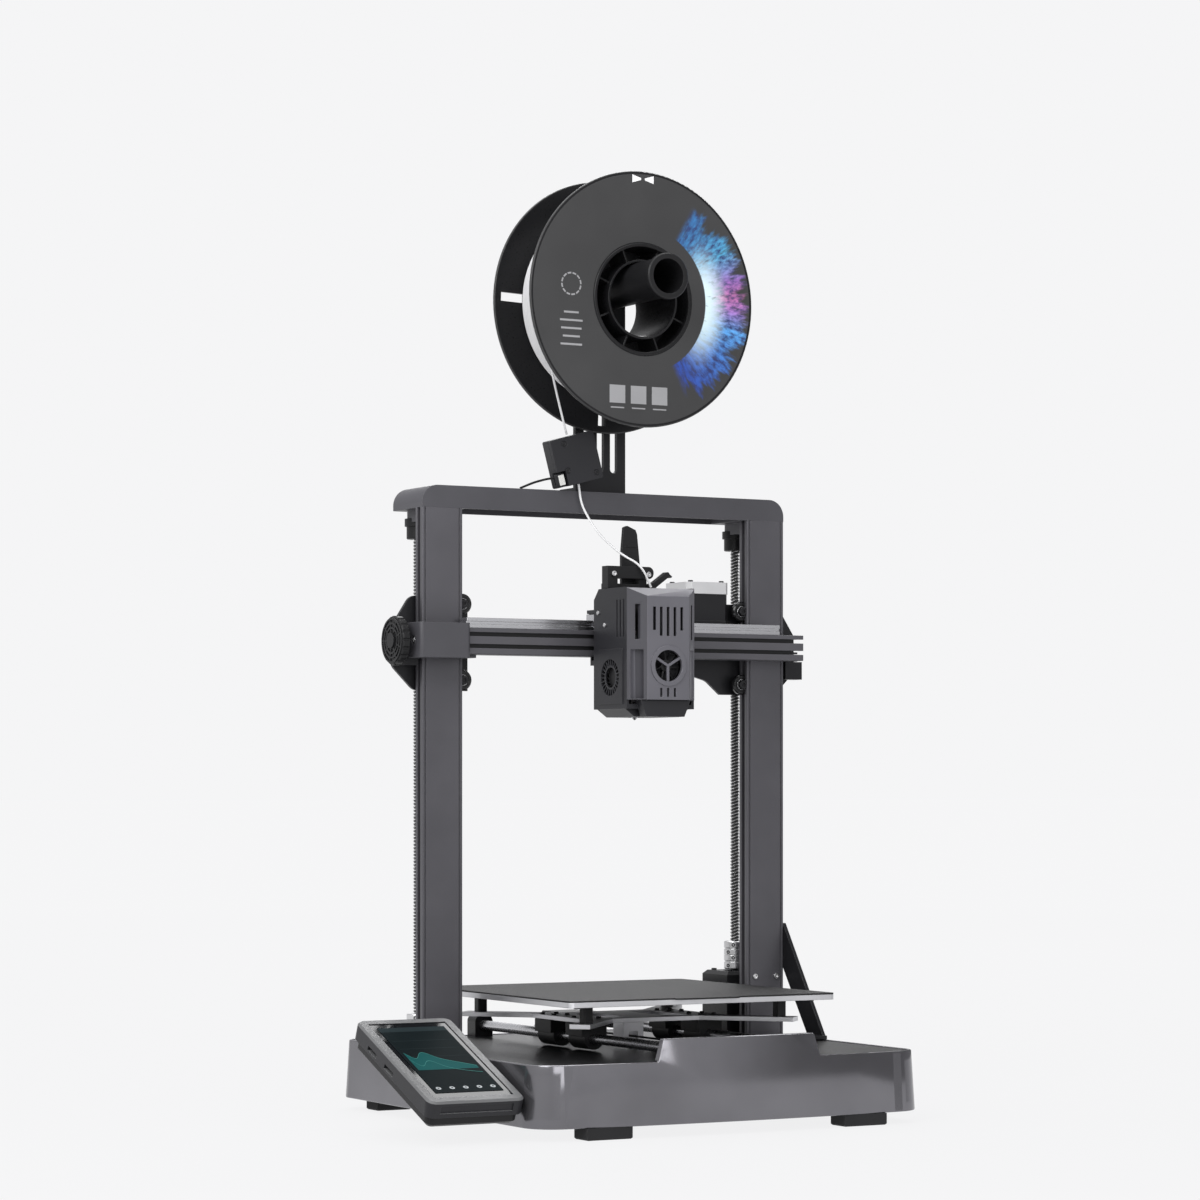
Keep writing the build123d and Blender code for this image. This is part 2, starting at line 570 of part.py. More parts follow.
def x_pulley(x, y, radius, bore):
    """Flanged pulley that turns about Z."""
    core = rod(radius - BELT_THICK / 2 - 0.05, (x, y, BELT_MIDDLE - 3.3), "Z", 6.6)
    rims = [rod(radius + 0.9, (x, y, z), "Z", 0.8) for z in (BELT_MIDDLE - 4.1, BELT_MIDDLE + 3.3)]
    return core + rims - rod(bore, (x, y, BELT_MIDDLE - 6), "Z", 12)


def tensioner_knob():
    """Ribbed thumb wheel at the beam's left end, on a screw along X."""
    knob = rod(19, (-191, -1, BELT_MIDDLE), "X", 6.7)
    knob = chamfer(knob.edges().filter_by(GeomType.CIRCLE), 1.0)
    for i in range(18):
        angle = math.radians(20 * i)
        notch = (-192, -1 + 19.4 * math.cos(angle), BELT_MIDDLE + 19.4 * math.sin(angle))
        knob = knob - rod(1.5, notch, "X", 9)
    hub = rod(6, (-193, -1, BELT_MIDDLE), "X", 3)
    return knob + hub


def z_nuts():
    """Flanged brass nuts round the lead screws."""
    nuts = []
    for side in (-1, 1):
        x = side * SCREW_X
        nut = rod(5.5, (x, SCREW_Y, 359), "Z", 13) + rod(11, (x, SCREW_Y, 369), "Z", 3)
        nuts.append(nut - rod(SCREW_R + 0.08, (x, SCREW_Y, 350), "Z", 30))
    return Compound(nuts)


def wheel(side, level):
    """Plastic roller with a rounded rim and a bearing bore."""
    z = WHEEL_HEIGHTS[level]
    body = rod(WHEEL_R, (side * WHEEL_X, WHEEL_Y - 2.2, z), "Y", 4.4)
    body = chamfer(body.edges().filter_by(GeomType.CIRCLE), 1.0)
    face = ring(5.6, 4.0, (side * WHEEL_X, WHEEL_Y - 2.2, z), "Y", 0.5)
    return body - face - rod(AXLE_R + 0.05, (side * WHEEL_X, 0, z), "Y", 12)


# ---------------------------------------------------------------- print head
def head_plan(inset, front, back):
    """The head's plan: a rectangle with both front corners cut off."""
    half = HEAD_HALF - inset
    cut = HEAD_CHAMFER
    return [(-half, back), (-half, front + cut), (-half + cut, front), (half - cut, front),
            (half, front + cut), (half, back)]


def prism(points, z):
    """A solid from an outline of (x, y) points, between two heights."""
    return extrude(Pos(0, 0, z[0]) * make_face(Polyline(*points, close=True)), amount=z[1] - z[0])


def slots(xs, z, width, y):
    """Upright slots through a wall that faces -Y."""
    return [block((x - width / 2, x + width / 2), y, z) for x in xs]


def head_slope(drop):
    """What lies above the head's sloped top, moved down by drop."""
    split = HEAD_FRONT + HEAD_CHAMFER
    return outline_yz([(HEAD_FRONT - 0.5, HEAD_EDGE - drop), (HEAD_FRONT - 0.5, HEAD_TOP + 1),
                       (split + 3, HEAD_TOP + 1), (split + 3, HEAD_TOP - drop + 0.5)], (-40, 40))


def corner_scoop(side):
    """Hollow half tube that stands in a cut corner, as (what it removes, its wall)."""
    middle = (side * (HEAD_HALF - HEAD_CHAMFER / 2), HEAD_FRONT + HEAD_CHAMFER / 2)
    bottom = 326.0
    height = SCOOP_TOP - bottom
    wall = ring(SCOOP_R + 1, SCOOP_R, (*middle, bottom), "Z", height)
    wall = wall + rod(SCOOP_R + 1, (*middle, SCOOP_TOP), "Z", 1)
    return rod(SCOOP_R, (*middle, bottom), "Z", height), wall


def corner_vent(side):
    """Upright slot high on a cut corner."""
    points = [(22.6, HEAD_FRONT - 2), (25.6, HEAD_FRONT + 1), (25.6, HEAD_FRONT + HEAD_CHAMFER),
              (22.6, HEAD_FRONT + HEAD_CHAMFER)]
    return prism([(side * x, y) for x, y in points], (372, 399))


def head_cover():
    """Light front cover: flat face, two cut corners, vents and the fan opening."""
    split = HEAD_FRONT + HEAD_CHAMFER
    plan = prism(head_plan(0, HEAD_FRONT, split + 0.2), (325.3, HEAD_TOP))
    room = prism(head_plan(2, HEAD_FRONT + 2, split + 3), (320, HEAD_TOP))
    cover = (plan - head_slope(0)) - (room - head_slope(2.4))
    for side in (-1, 1):
        hollow, wall = corner_scoop(side)
        cover = cover - hollow + (wall & plan) - corner_vent(side)
    wall = (HEAD_FRONT - 2, HEAD_FRONT + 4)
    pitch = 6.1
    cover = cover - slots([pitch * i for i in range(-2, 3)], (379.0, 397.0), 2.6, wall)
    cover = cover - slots([pitch * i for i in range(-1, 2)], (374.6, 380), 2.6, wall)
    cover = cover - slots([pitch * i for i in range(-1, 2)], (327.6, 334.4), 2.0, wall)
    cover = cover + ring(15.6, 12.2, (0, HEAD_FRONT - 1.0, FAN_Z), "Y", 3.0)
    cover = cover - rod(12.2, (0, HEAD_FRONT - 2, FAN_Z), "Y", 6)
    for turn in (-90, 30, 150):
        angle = math.radians(turn)
        spoke = Pos(6.3 * math.cos(angle), 0, 6.3 * math.sin(angle)) * Rotation(0, -turn, 0)
        cover = cover + Pos(0, HEAD_FRONT + 1, FAN_Z) * spoke * Box(13.5, 2.0, 1.9)
    return cover


def head_frame():
    """Dark rear housing: side walls with vents, floor ducts and the carriage plate."""
    split = HEAD_FRONT + HEAD_CHAMFER + 0.5
    half = HEAD_HALF
    plan = [(-half, HEAD_BACK), (-half, split), (half, split), (half, HEAD_BACK)]
    shell = prism(plan, (318.5, HEAD_TOP - 0.5))
    room = prism([(-half + 2.2, HEAD_BACK - 2), (-half + 2.2, split - 1), (half - 2.2, split - 1),
                  (half - 2.2, HEAD_BACK - 2)], (322, HEAD_TOP + 2))
    shell = shell - room
    lip = outline_xz([(-half, 320), (-20, 312.4), (20, 312.4), (half, 320)],
                     (HEAD_BACK - 46, HEAD_BACK - 2))
    front_lip = outline_xz([(-half + 8, 325), (-17, 312.4), (17, 312.4), (half - 8, 325)],
                           (HEAD_FRONT + 4, split + 2))
    mouth = block((-8, 8), (NOZZLE_Y - 9, NOZZLE_Y + 9), (300, 330))
    shell = shell + lip + front_lip - mouth
    vents = [block((-40, 40), (y - 0.9, y + 0.9), (374, 403)) for y in (-67.5, -72.7, -77.9)]
    bevel = outline_yz([(HEAD_BACK - 9, HEAD_TOP + 1), (HEAD_BACK + 1, HEAD_TOP - 10),
                        (HEAD_BACK + 1, HEAD_TOP + 1)], (-40, 40))
    shell = shell - vents - bevel
    for s in (-1, 1):
        shell = shell - rod(12.4, (min(s * 26, s * 34), BLOWER_Y, BLOWER_Z), "X", 8)
        frame = block(sorted((s * half, s * (half + 1.0))), (BLOWER_Y - 19, BLOWER_Y + 17), (322.3, 365))
        shell = shell + frame - rod(14.2, (min(s * 26, s * 34), BLOWER_Y, BLOWER_Z), "X", 8)
    grille = [ring(9.4, 7.9, (-half - 0.4, BLOWER_Y, BLOWER_Z), "X", 1.4)]
    for turn in range(0, 360, 15):
        angle = math.radians(turn)
        bar = Pos(-half + 0.3, BLOWER_Y + 11.2 * math.cos(angle), BLOWER_Z + 11.2 * math.sin(angle))
        grille.append(bar * Rotation(turn, 0, 0) * Box(1.4, 6.6, 0.8))
    carriage = block((-27, 27), (HEAD_BACK, HEAD_BACK + 4), (344, 397.5))
    roof = block((-22, 22), (HEAD_BACK, BEAM_BACK - 3), (394.8, 397.5))
    foot = block((-24.5, -12), (HEAD_BACK, BEAM_FRONT + 6.8), (353.5, 357.5))
    tongue = block((-24.5, -19), (BEAM_FRONT + 4.8, BEAM_FRONT + 6.8), (353.5, 373.0))
    return shell + grille + carriage + roof + foot + tongue


def rail_block():
    """Ball carriage that runs on the rail."""
    body = block((-21, 21), (BEAM_Y - 10, BEAM_Y + 9.5), (BEAM_TOP + 2.2, 394.8))
    body = fillet(body.edges().filter_by(Axis.Y).group_by(Axis.Z)[-1], 1.2)
    channel = block((-22, 22), (BEAM_Y - 6.05, BEAM_Y + 6.05), (BEAM_TOP, RAIL_TOP + 0.05))
    return body - channel


def hotend():
    """Finned heat sink, heater block and nozzle, under the extruder."""
    sink = rod(9, (0, NOZZLE_Y, 333), "Z", 26)
    gaps = [ring(12, 5, (0, NOZZLE_Y, 335 + 4 * i), "Z", 2) for i in range(6)]
    neck = rod(2.2, (0, NOZZLE_Y, 326), "Z", 8) + rod(7, (0, NOZZLE_Y, 358), "Z", 34)
    heater = block((-7, 7), (NOZZLE_Y - 8, NOZZLE_Y + 8), (316, 327))
    hexagon = extrude(Pos(0, NOZZLE_Y, 313) * RegularPolygon(4, 6), amount=4)
    tip = Pos(0, NOZZLE_Y, NOZZLE_TIP) * Cone(0.6, 3.2, 2.8, align=LOW)
    return sink - gaps + neck + heater + hexagon + tip


def extruder():
    """Feed gear housing with its bracket and round motor, on top of the head."""
    gearbox = block((-16, 20), (-57, -34), (392, 411))
    bar = block((-28, 13.5), (-49, -40), (BAR_BOTTOM, BAR_TOP))
    bar = round_edges(bar, Axis.Y, 4.5, lambda c: c.X > 13)
    leg = block((-28, -19), (-49, -40), (HEAD_TOP, BAR_BOTTOM)) + block((2, 8.8), (-46, -40), (410, BAR_BOTTOM))
    step = block((-27.5, 4), (-46, -38), (410, 417))
    motor = rod(14, (0, -77, 393), "Y", 20)
    inlet = rod(3.2, (*INLET, 408), "Z", 5.2)
    pin = rod(1.5, LEVER_PIN, "Y", 9.5)
    screws = [rod(2.8, (x, -50, z), "Y", 2) for x, z in ((-23, 424.5), (8, 424.5))]
    body = gearbox + bar + leg + step + motor + inlet + pin + screws
    return body - rod(1.2, (*INLET, 392), "Z", 30)


def release_lever():
    """Lever that opens the feed gears; it stands up at 45 degrees."""
    x, y, z = LEVER_PIN
    arm = Pos(x + 7.5, y + 3.5, z + 5.5) * Rotation(0, -36, 0) * Box(19, 6.4, 4.2)
    arm = fillet(arm.edges().filter_by(Axis.Y), 1.6)
    tip = Pos(x + 15.6, y + 3.5, z + 9.6) * Rotation(0, 38, 0) * Box(4.5, 6.4, 1.4)
    eye = rod(3.2, (x, y + 0.3, z), "Y", 6.4)
    return arm + tip + eye - rod(1.55, (x, y - 1, z), "Y", 9)


def cable_guide():
    """Upright blade behind the extruder that leads the head's flat cable."""
    blade = outline_xz([(-6.6, 413.2), (-6.6, 440), (-4.6, 462), (-1.5, 463.4), (6, 460.3), (7.4, 457),
                        (10.2, 430), (10.2, 413.2)], (-33.6, -30.6))
    return fillet(blade.edges().filter_by(Axis.Y).group_by(Axis.Z)[-1], 1.0)


def fan_rotor(radius, hub, blades, thick):
    """Fan with flat blades, turning about Z, standing on Z = 0."""
    rotor = rod(hub, (0, 0, 0), "Z", thick)
    for i in range(blades):
        blade = Rotation(0, 0, 360 / blades * i) * Pos((radius + hub) / 2 - 0.3, 0, thick / 2)
        rotor = rotor + blade * Rotation(35, 0, 0) * Box(radius - hub + 0.4, 1.0, thick)
    return rotor & rod(radius, (0, 0, 0), "Z", thick)


def front_fan():
    return Pos(0, HEAD_FRONT + 3.2, FAN_Z) * TURN["Y"] * fan_rotor(11.6, 4.5, 7, 5)


def side_fan():
    rotor = rod(7.2, (0, 0, 0), "Z", 6)
    for i in range(16):
        rotor = rotor + Rotation(0, 0, 22.5 * i) * Pos(9.3, 0, 3) * Rotation(0, 0, 25) * Box(4.6, 0.8, 6)
    return Pos(-HEAD_HALF + 2.6, BLOWER_Y, BLOWER_Z) * TURN["X"] * rotor


# ---------------------------------------------------------------- spool and feed
def spool_bracket():
    """Flat plate with three long slots, standing on the cap."""
    plate = block((-22.8, 22.8), BRACKET_Y, (COVER_TOP, TUBE_Z + 26))
    plate = round_edges(plate, Axis.Y, 20, lambda c: c.Z > TUBE_Z + 25)
    foot = block((-22.8, 22.8), (BRACKET_Y[0], BRACKET_Y[1] + 22), (COVER_TOP, COVER_TOP + 4))
    slits = []
    for x in (-12, 0, 12):
        slits.append(block((x - 3.2, x + 3.2), (10, 20), (512, 600)))
        slits.append(rod(3.2, (x, 10, 512), "Y", 10))
        slits.append(rod(3.2, (x, 10, 600), "Y", 10))
    return plate + foot - slits


def spool_tube():
    """Hollow arm that the spool hangs on, with an end flange."""
    arm = ring(TUBE_R, 13.5, (0, TUBE_FRONT, TUBE_Z), "Y", BRACKET_Y[0] - TUBE_FRONT)
    flange = ring(17.9, 13.5, (0, TUBE_FRONT, TUBE_Z), "Y", 4)
    flange = chamfer(flange.edges().filter_by(GeomType.CIRCLE).group_by(Axis.Y)[0], 0.8)
    collar = ring(20, 13.5, (0, BRACKET_Y[0] - 3, TUBE_Z), "Y", 3)
    return arm + flange + collar


def spool():
    """Two flanges on a drum, with a ribbed hub."""
    depth = SPOOL_BACK - SPOOL_FRONT
    center = (0, SPOOL_FRONT, SPOOL_Z)
    drum = ring(43.5, 41.2, center, "Y", depth)
    bore = ring(BORE_R + 1.6, BORE_R, center, "Y", depth)
    body = drum + bore
    for i in range(8):
        rib = Rotation(0, -22.5 - 45 * i, 0) * Pos(36, 0, 0) * Box(12.5, depth - 8, 1.3)
        body = body + Pos(0, SPOOL_FRONT + depth / 2, SPOOL_Z) * rib
    web = ring(42, BORE_R + 1, (0, SPOOL_FRONT + depth / 2 - 1, SPOOL_Z), "Y", 2)
    body = body + web
    for start in (SPOOL_FRONT, SPOOL_BACK - 2.6):
        flange = ring(SPOOL_R, 41.2, (0, start, SPOOL_Z), "Y", 2.6)
        body = body + fillet(flange.edges().filter_by(GeomType.CIRCLE).filter_by(
            lambda edge: edge.radius > 90), 0.9)
    for i in range(4):
        slot = Rotation(0, 90 * i + 2, 0) * Pos(-84, 0, 0) * Box(20, 8, 7)
        body = body - Pos(0, SPOOL_BACK, SPOOL_Z) * slot
    for x in (-5.6, 5.6):
        body = body - Pos(x, SPOOL_FRONT, SPOOL_Z + 93.8) * Box(8, 8, 6)
    return body


def filament_winding():
    """Wound filament between the flanges."""
    return ring(WINDING_R, 43.55, (0, SPOOL_FRONT + 2.7, SPOOL_Z), "Y", SPOOL_BACK - SPOOL_FRONT - 5.4)


def filament_sensor():
    """Small box that feels the filament, tilted, on a strap to the bracket."""
    box = Box(40, 13, 38)
    box = fillet(box.edges().filter_by(Axis.Y), 1.6)
    box = box - Cylinder(1.3, 60)
    box = box - Pos(-16.5, -3, -13.5) * Box(9, 9, 14)
    lid_line = Box(42, 0.5, 40) - Box(39, 2, 37)
    box = box - Pos(0, -3.2, 0) * lid_line
    for x, z in ((-8, 14), (15, -14), (-10, -7)):
        screw = Pos(x, -6.5, z) * TURN["Y"] * Cylinder(2.6, 0.8)
        box = box - screw
    plug = Pos(-17.0, -2.8, -12.5) * Box(6, 5, 9)
    strap = block((-26, -16), (3, BRACKET_Y[0]), (511, 527))
    return SENSOR * box + SENSOR * plug + strap


def cord(points, diameter, name):
    """Round cord along straight runs joined by arcs as large as the runs allow."""
    radii = []
    for before, here, after in zip(points, points[1:], points[2:]):
        back = Vector(*before) - Vector(*here)
        ahead = Vector(*after) - Vector(*here)
        turn = 180 - back.get_angle(ahead)
        shorter = min(back.length, ahead.length)
        radii.append(0.45 * shorter / math.tan(math.radians(turn) / 2))
    print(name, "radii", [round(radius, 1) for radius in radii])
    path = FilletPolyline(*points, radius=radii)
    start = Plane(origin=path @ 0, z_dir=path % 0)
    return sweep(start * Circle(diameter / 2), path=path)


def touch_screen_place():
    """Lower front right corner of the screen's tilted slab."""
    return Pos(SCREEN_RIGHT, SCREEN_FRONT, SCREEN_FRONT_Z) * Rotation(SCREEN_TILT, 0, 0)


def screen_slab(inset, low, high):
    """A slab parallel to the screen, between two depths below its face."""
    return block((-SCREEN_WIDTH + inset, -inset), (inset, SCREEN_LENGTH - inset), (low, high))


def screen_body():
    """Bezel and rear case of the touch screen."""
    slab = screen_slab(0, -SCREEN_THICK, 0)
    slab = fillet(slab.edges().filter_by(Axis.Z), 7)
    slab = chamfer(slab.edges().group_by(Axis.Z)[-1], 1.6)
    glass = screen_slab(7.5, -2.2, 1)
    slots_left = [block((-SCREEN_WIDTH - 1, -SCREEN_WIDTH + 5), (y, y + 15), (-11, -7.4)) for y in (62, 92)]
    lip = block((-SCREEN_WIDTH + 10, -10), (-1, 1.2), (-9.5, -3.5))
    return touch_screen_place() * (slab - glass - slots_left - lip)


def screen_glass():
    glass = fillet(screen_slab(7.7, -2.2, -0.6).edges().filter_by(Axis.Z), 1.5)
    return touch_screen_place() * glass


def screen_cradle():
    """Arm and tray that hold the screen off the side of the base."""
    tray = screen_slab(2.5, -SCREEN_THICK - 9, -SCREEN_THICK)
    tray = fillet(tray.edges().filter_by(Axis.Z), 6)
    tray = chamfer(tray.edges().group_by(Axis.Z)[0], 2.5)
    tray = touch_screen_place() * tray
    arm = outline_yz([(-150, 14), (-150, 26), (-88, 52), (-88, 30)], (SCREEN_RIGHT - 4, -160))
    return (tray + arm) - base_solid(0, BASE_BOTTOM, NOSE_TOP)


# ---------------------------------------------------------------- output
def all_parts():
    """Every node's shape, in the machine frame."""
    deck = base_deck() + rod_holders()
    fork = [block(pair, (Y_IDLER - 5, Y_IDLER + 5), (DECK_TOP - 2, Y_BELT_Z + 7)) for pair in ((-9.5, -7), (7, 9.5))]
    deck = deck + fork + rod(2.4, (-9, Y_IDLER, Y_BELT_Z), "X", 18)
    parts = {
        "base_shell": base_shell(), "base_deck": deck, "base_plate": base_plate(), "feet": feet(),
        "left_upright": upright(-1), "right_upright": upright(1), "top_cover": top_cover(),
        "side_brace": side_brace(), "y_rods": y_rods(), "y_motor": y_motor(), "y_belt": y_belt(),
        "z_motors": z_motors(), "power_supply": power_supply(), "mainboard": mainboard(),
        "power_inlet": power_inlet(), "power_switch": power_switch(),
        "spool_bracket": spool_bracket(), "spool_tube": spool_tube(),
        "filament_sensor": filament_sensor(), "screen_body": screen_body(),
        "screen_glass": screen_glass(), "screen_cradle": screen_cradle(),
        "build_sheet": build_sheet(), "heated_bed": heated_bed(), "bed_posts": bed_posts(),
        "bed_carriage": bed_carriage(), "y_bearings": y_bearings(),
        "x_beam": x_beam(), "x_rail": x_rail(), "left_end_plate": left_end_plate(),
        "right_end_plate": right_end_plate(), "beam_end_cover": beam_end_cover(),
        "x_motor": x_motor(), "x_belt": x_belt(), "tensioner_knob": tensioner_knob(), "z_nuts": z_nuts(),
        "y_motor_pulley": y_pulley(Y_MOTOR, 2.55), "y_idler": y_pulley(Y_IDLER, 2.45),
        "x_motor_pulley": x_pulley(MOTOR_X, MOTOR_Y, PULLEY_R, 2.55),
        "x_idler": x_pulley(-150, BEAM_Y, GUIDE_R, 1.55),
        "head_cover": head_cover(), "head_frame": head_frame(), "rail_block": rail_block(),
        "hotend": hotend(), "extruder": extruder(), "release_lever": release_lever(),
        "cable_guide": cable_guide(), "front_fan": front_fan(), "side_fan": side_fan(),
        "spool": spool(), "filament_winding": filament_winding(),
        "filament_upper": cord(UPPER_STRAND, FILAMENT, "filament_upper"),
        "filament_lower": cord(LOWER_STRAND, FILAMENT, "filament_lower"),
        "sensor_cable": cord(SENSOR_CABLE, 1.8, "sensor_cable"),
    }
    for name, side in (("left", -1), ("right", 1)):
        parts[name + "_lead_screw"] = lead_screw(side)
        for level in WHEEL_HEIGHTS:
            parts[name + "_" + level + "_wheel"] = wheel(side, level)
    return parts


def write_parts():
    """Write every node with the origin at the footprint's centre."""
    os.makedirs("parts", exist_ok=True)
    parts = all_parts()
    boxes = [shape.bounding_box() for shape in parts.values()]
    low_x, high_x = min(b.min.X for b in boxes), max(b.max.X for b in boxes)
    low_y, high_y = min(b.min.Y for b in boxes), max(b.max.Y for b in boxes)
    shift = Pos(-(low_x + high_x) / 2, -(low_y + high_y) / 2, 0)
    print("shift", shift.position, "of", len(parts), "nodes")
    for name, shape in parts.items():
        export_step(shift * shape, "parts/" + name + ".step")


write_parts()
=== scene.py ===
import bpy
import bmesh
import json
import math
import random
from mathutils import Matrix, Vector


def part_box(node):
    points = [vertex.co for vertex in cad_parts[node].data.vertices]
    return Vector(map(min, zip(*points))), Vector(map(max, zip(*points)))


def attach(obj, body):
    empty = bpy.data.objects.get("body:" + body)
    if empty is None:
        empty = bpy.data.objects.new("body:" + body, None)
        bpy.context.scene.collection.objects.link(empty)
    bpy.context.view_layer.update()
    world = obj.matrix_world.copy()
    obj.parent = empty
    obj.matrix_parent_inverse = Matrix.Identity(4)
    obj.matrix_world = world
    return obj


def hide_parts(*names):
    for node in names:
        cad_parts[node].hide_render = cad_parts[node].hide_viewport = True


# Looks of a desktop filament printer. Sizes in the part's own millimetres are measured from the
# machine's middle: X = 0 midway between the uprights, Y = 0 on their front faces, Z = 0 on the table.

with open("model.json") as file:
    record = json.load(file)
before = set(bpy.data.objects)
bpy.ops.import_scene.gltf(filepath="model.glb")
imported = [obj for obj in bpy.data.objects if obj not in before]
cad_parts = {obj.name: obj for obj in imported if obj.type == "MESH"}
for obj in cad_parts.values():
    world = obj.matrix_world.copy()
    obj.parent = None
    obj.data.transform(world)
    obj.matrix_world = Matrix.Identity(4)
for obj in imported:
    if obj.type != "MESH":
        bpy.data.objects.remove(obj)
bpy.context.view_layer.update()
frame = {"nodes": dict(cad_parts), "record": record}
NODES = frame["nodes"]
RECORD = frame["record"]
MM = 0.001
ORIGIN_X = (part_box("left_upright")[0][0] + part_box("right_upright")[1][0]) / 2
ORIGIN_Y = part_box("left_upright")[0][1]

CAMERA_PLACE = (-1414.4, -2494.3, 258.3)
CAMERA_TURN = math.radians(-29.43)
FLOOR_REACH = 60                        # metres
PALE = (0.913, 0.913, 0.921)            # surroundings as the camera sees them
SIDE_LIGHT = ((0.4, 0.8), (0.68, 1.0), (0.757, 1.0), (0.770, 0.18), (0.85, 0.16))
SCREEN_TILT = math.radians(22.9)
DISPLAY_MARGIN = 4.0
SENSOR_MIDDLE = (-33.5, -3, 516.3)
SENSOR_TILT = math.radians(-15)
THREAD_LEAD = 8
THREAD_STARTS = 3
THREAD_ROOT = 2.7                       # radius at the bottom of the groove
THREAD_DEPTH = 1.25
THREAD_SHADOW = 3.35                    # faces nearer the axis than this are dark
COUPLER_COVERS = 13                     # how far up the coupler hides the thread
PRINT_START = 57.0                      # radius where the spool's colours begin
RIM_START = 98.5
COVER_LEFT = -10                        # the head cover's left-facing faces left of this get painted shade
STEEL_SCREWS = ("upright_foot", "bar", "beam_cover_side", "head_side", "cover_back")
SOFT_EDGES = {"base_shell": 1.0, "top_cover": 0.8, "head_cover": 0.5, "head_frame": 0.5, "screen_body": 0.6,
              "beam_end_cover": 0.6, "filament_sensor": 0.5, "spool_bracket": 0.4, "side_brace": 0.3}
BOX_FACES = [(0, 1, 3, 2), (4, 6, 7, 5), (0, 4, 5, 1), (2, 3, 7, 6), (0, 2, 6, 4), (1, 5, 7, 3)]


def point(x, y, z):
    """Machine millimetres to scene metres."""
    return Vector((ORIGIN_X + x * MM, ORIGIN_Y + y * MM, z * MM))


def machine(spot):
    """Scene metres to machine millimetres."""
    return Vector(((spot[0] - ORIGIN_X) / MM, (spot[1] - ORIGIN_Y) / MM, spot[2] / MM))


def span(node):
    """A node's box in machine millimetres: (low, high)."""
    return [machine(corner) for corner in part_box(node)]


# ---------------------------------------------------------------- camera, floor and light
def make_camera():
    data = bpy.data.cameras.new("camera")
    camera = bpy.data.objects.new("camera", data)
    bpy.context.scene.collection.objects.link(camera)
    camera.location = point(*CAMERA_PLACE)
    camera.rotation_euler = (math.radians(90), 0, CAMERA_TURN)
    data.lens = 108.25
    data.sensor_width = 36
    data.shift_y = 0.1555
    data.clip_end = 200
    bpy.context.scene.camera = camera


def area_light(name, place, aim, size, power):
    data = bpy.data.lights.new(name, "AREA")
    data.shape = "RECTANGLE"
    data.size, data.size_y = size
    data.energy = power
    light = bpy.data.objects.new(name, data)
    bpy.context.scene.collection.objects.link(light)
    light.location = place
    light.rotation_euler = (Vector(aim) - Vector(place)).to_track_quat("-Z", "Y").to_euler()


def make_world():
    """Even pale surroundings to look at, with a studio's brighter and darker sides to light by."""
    world = bpy.data.worlds.new("studio")
    bpy.context.scene.world = world
    world.use_nodes = True
    nodes, links = world.node_tree.nodes, world.node_tree.links
    nodes.clear()
    out = nodes.new("ShaderNodeOutputWorld")
    seen = nodes.new("ShaderNodeBackground")
    seen.inputs["Color"].default_value = (*PALE, 1)
    lit = nodes.new("ShaderNodeBackground")
    lit.inputs["Strength"].default_value = 0.8
    coord = nodes.new("ShaderNodeTexCoord")
    split = nodes.new("ShaderNodeSeparateXYZ")
    side = nodes.new("ShaderNodeMath")
    side.operation = "MULTIPLY_ADD"
    side.inputs[1].default_value = 0.5
    side.inputs[2].default_value = 0.5
    ramp = nodes.new("ShaderNodeValToRGB")
    stops = ramp.color_ramp.elements
    stops[0].position, stops[0].color = 0.0, (1.0, 1.0, 1.0, 1)
    stops[1].position, stops[1].color = 1.0, (0.35, 0.35, 0.36, 1)
    for position, value in SIDE_LIGHT:
        stop = stops.new(position)
        stop.color = (value, value, value * 1.02, 1)
    path = nodes.new("ShaderNodeLightPath")
    mix = nodes.new("ShaderNodeMixShader")
    links.new(coord.outputs["Generated"], split.inputs[0])
    links.new(split.outputs["X"], side.inputs[0])
    links.new(side.outputs[0], ramp.inputs["Fac"])
    links.new(ramp.outputs["Color"], lit.inputs["Color"])
    links.new(path.outputs["Is Camera Ray"], mix.inputs[0])
    links.new(lit.outputs[0], mix.inputs[1])
    links.new(seen.outputs[0], mix.inputs[2])
    links.new(mix.outputs[0], out.inputs["Surface"])


def make_floor():
    """A plain pale floor that fades evenly into the surroundings."""
    mesh = bpy.data.meshes.new("floor")
    r = FLOOR_REACH
    mesh.from_pydata([(-r, -r, 0), (r, -r, 0), (r, r, 0), (-r, r, 0)], [], [(0, 1, 2, 3)])
    floor = bpy.data.objects.new("floor", mesh)
    bpy.context.scene.collection.objects.link(floor)
    floor.location.z = -0.0002
    material, nodes, links = node_material("floor")
    shader = nodes["Principled BSDF"]
    shader.inputs["Base Color"].default_value = (0.04, 0.04, 0.0404, 1)
    shader.inputs["Roughness"].default_value = 1.0
    shader.inputs["Specular IOR Level"].default_value = 0.0
    shader.inputs["Emission Color"].default_value = (1, 1, 1.008, 1)
    coord = nodes.new("ShaderNodeTexCoord")
    distance = nodes.new("ShaderNodeVectorMath")
    distance.operation = "LENGTH"
    links.new(coord.outputs["Object"], distance.inputs[0])
    fade = nodes.new("ShaderNodeMapRange")
    fade.inputs["From Min"].default_value = 0.4
    fade.inputs["From Max"].default_value = 5.0
    fade.inputs["To Min"].default_value = 0.850
    fade.inputs["To Max"].default_value = 0.891
    links.new(distance.outputs["Value"], fade.inputs["Value"])
    links.new(fade.outputs[0], shader.inputs["Emission Strength"])
    mesh.materials.append(material)


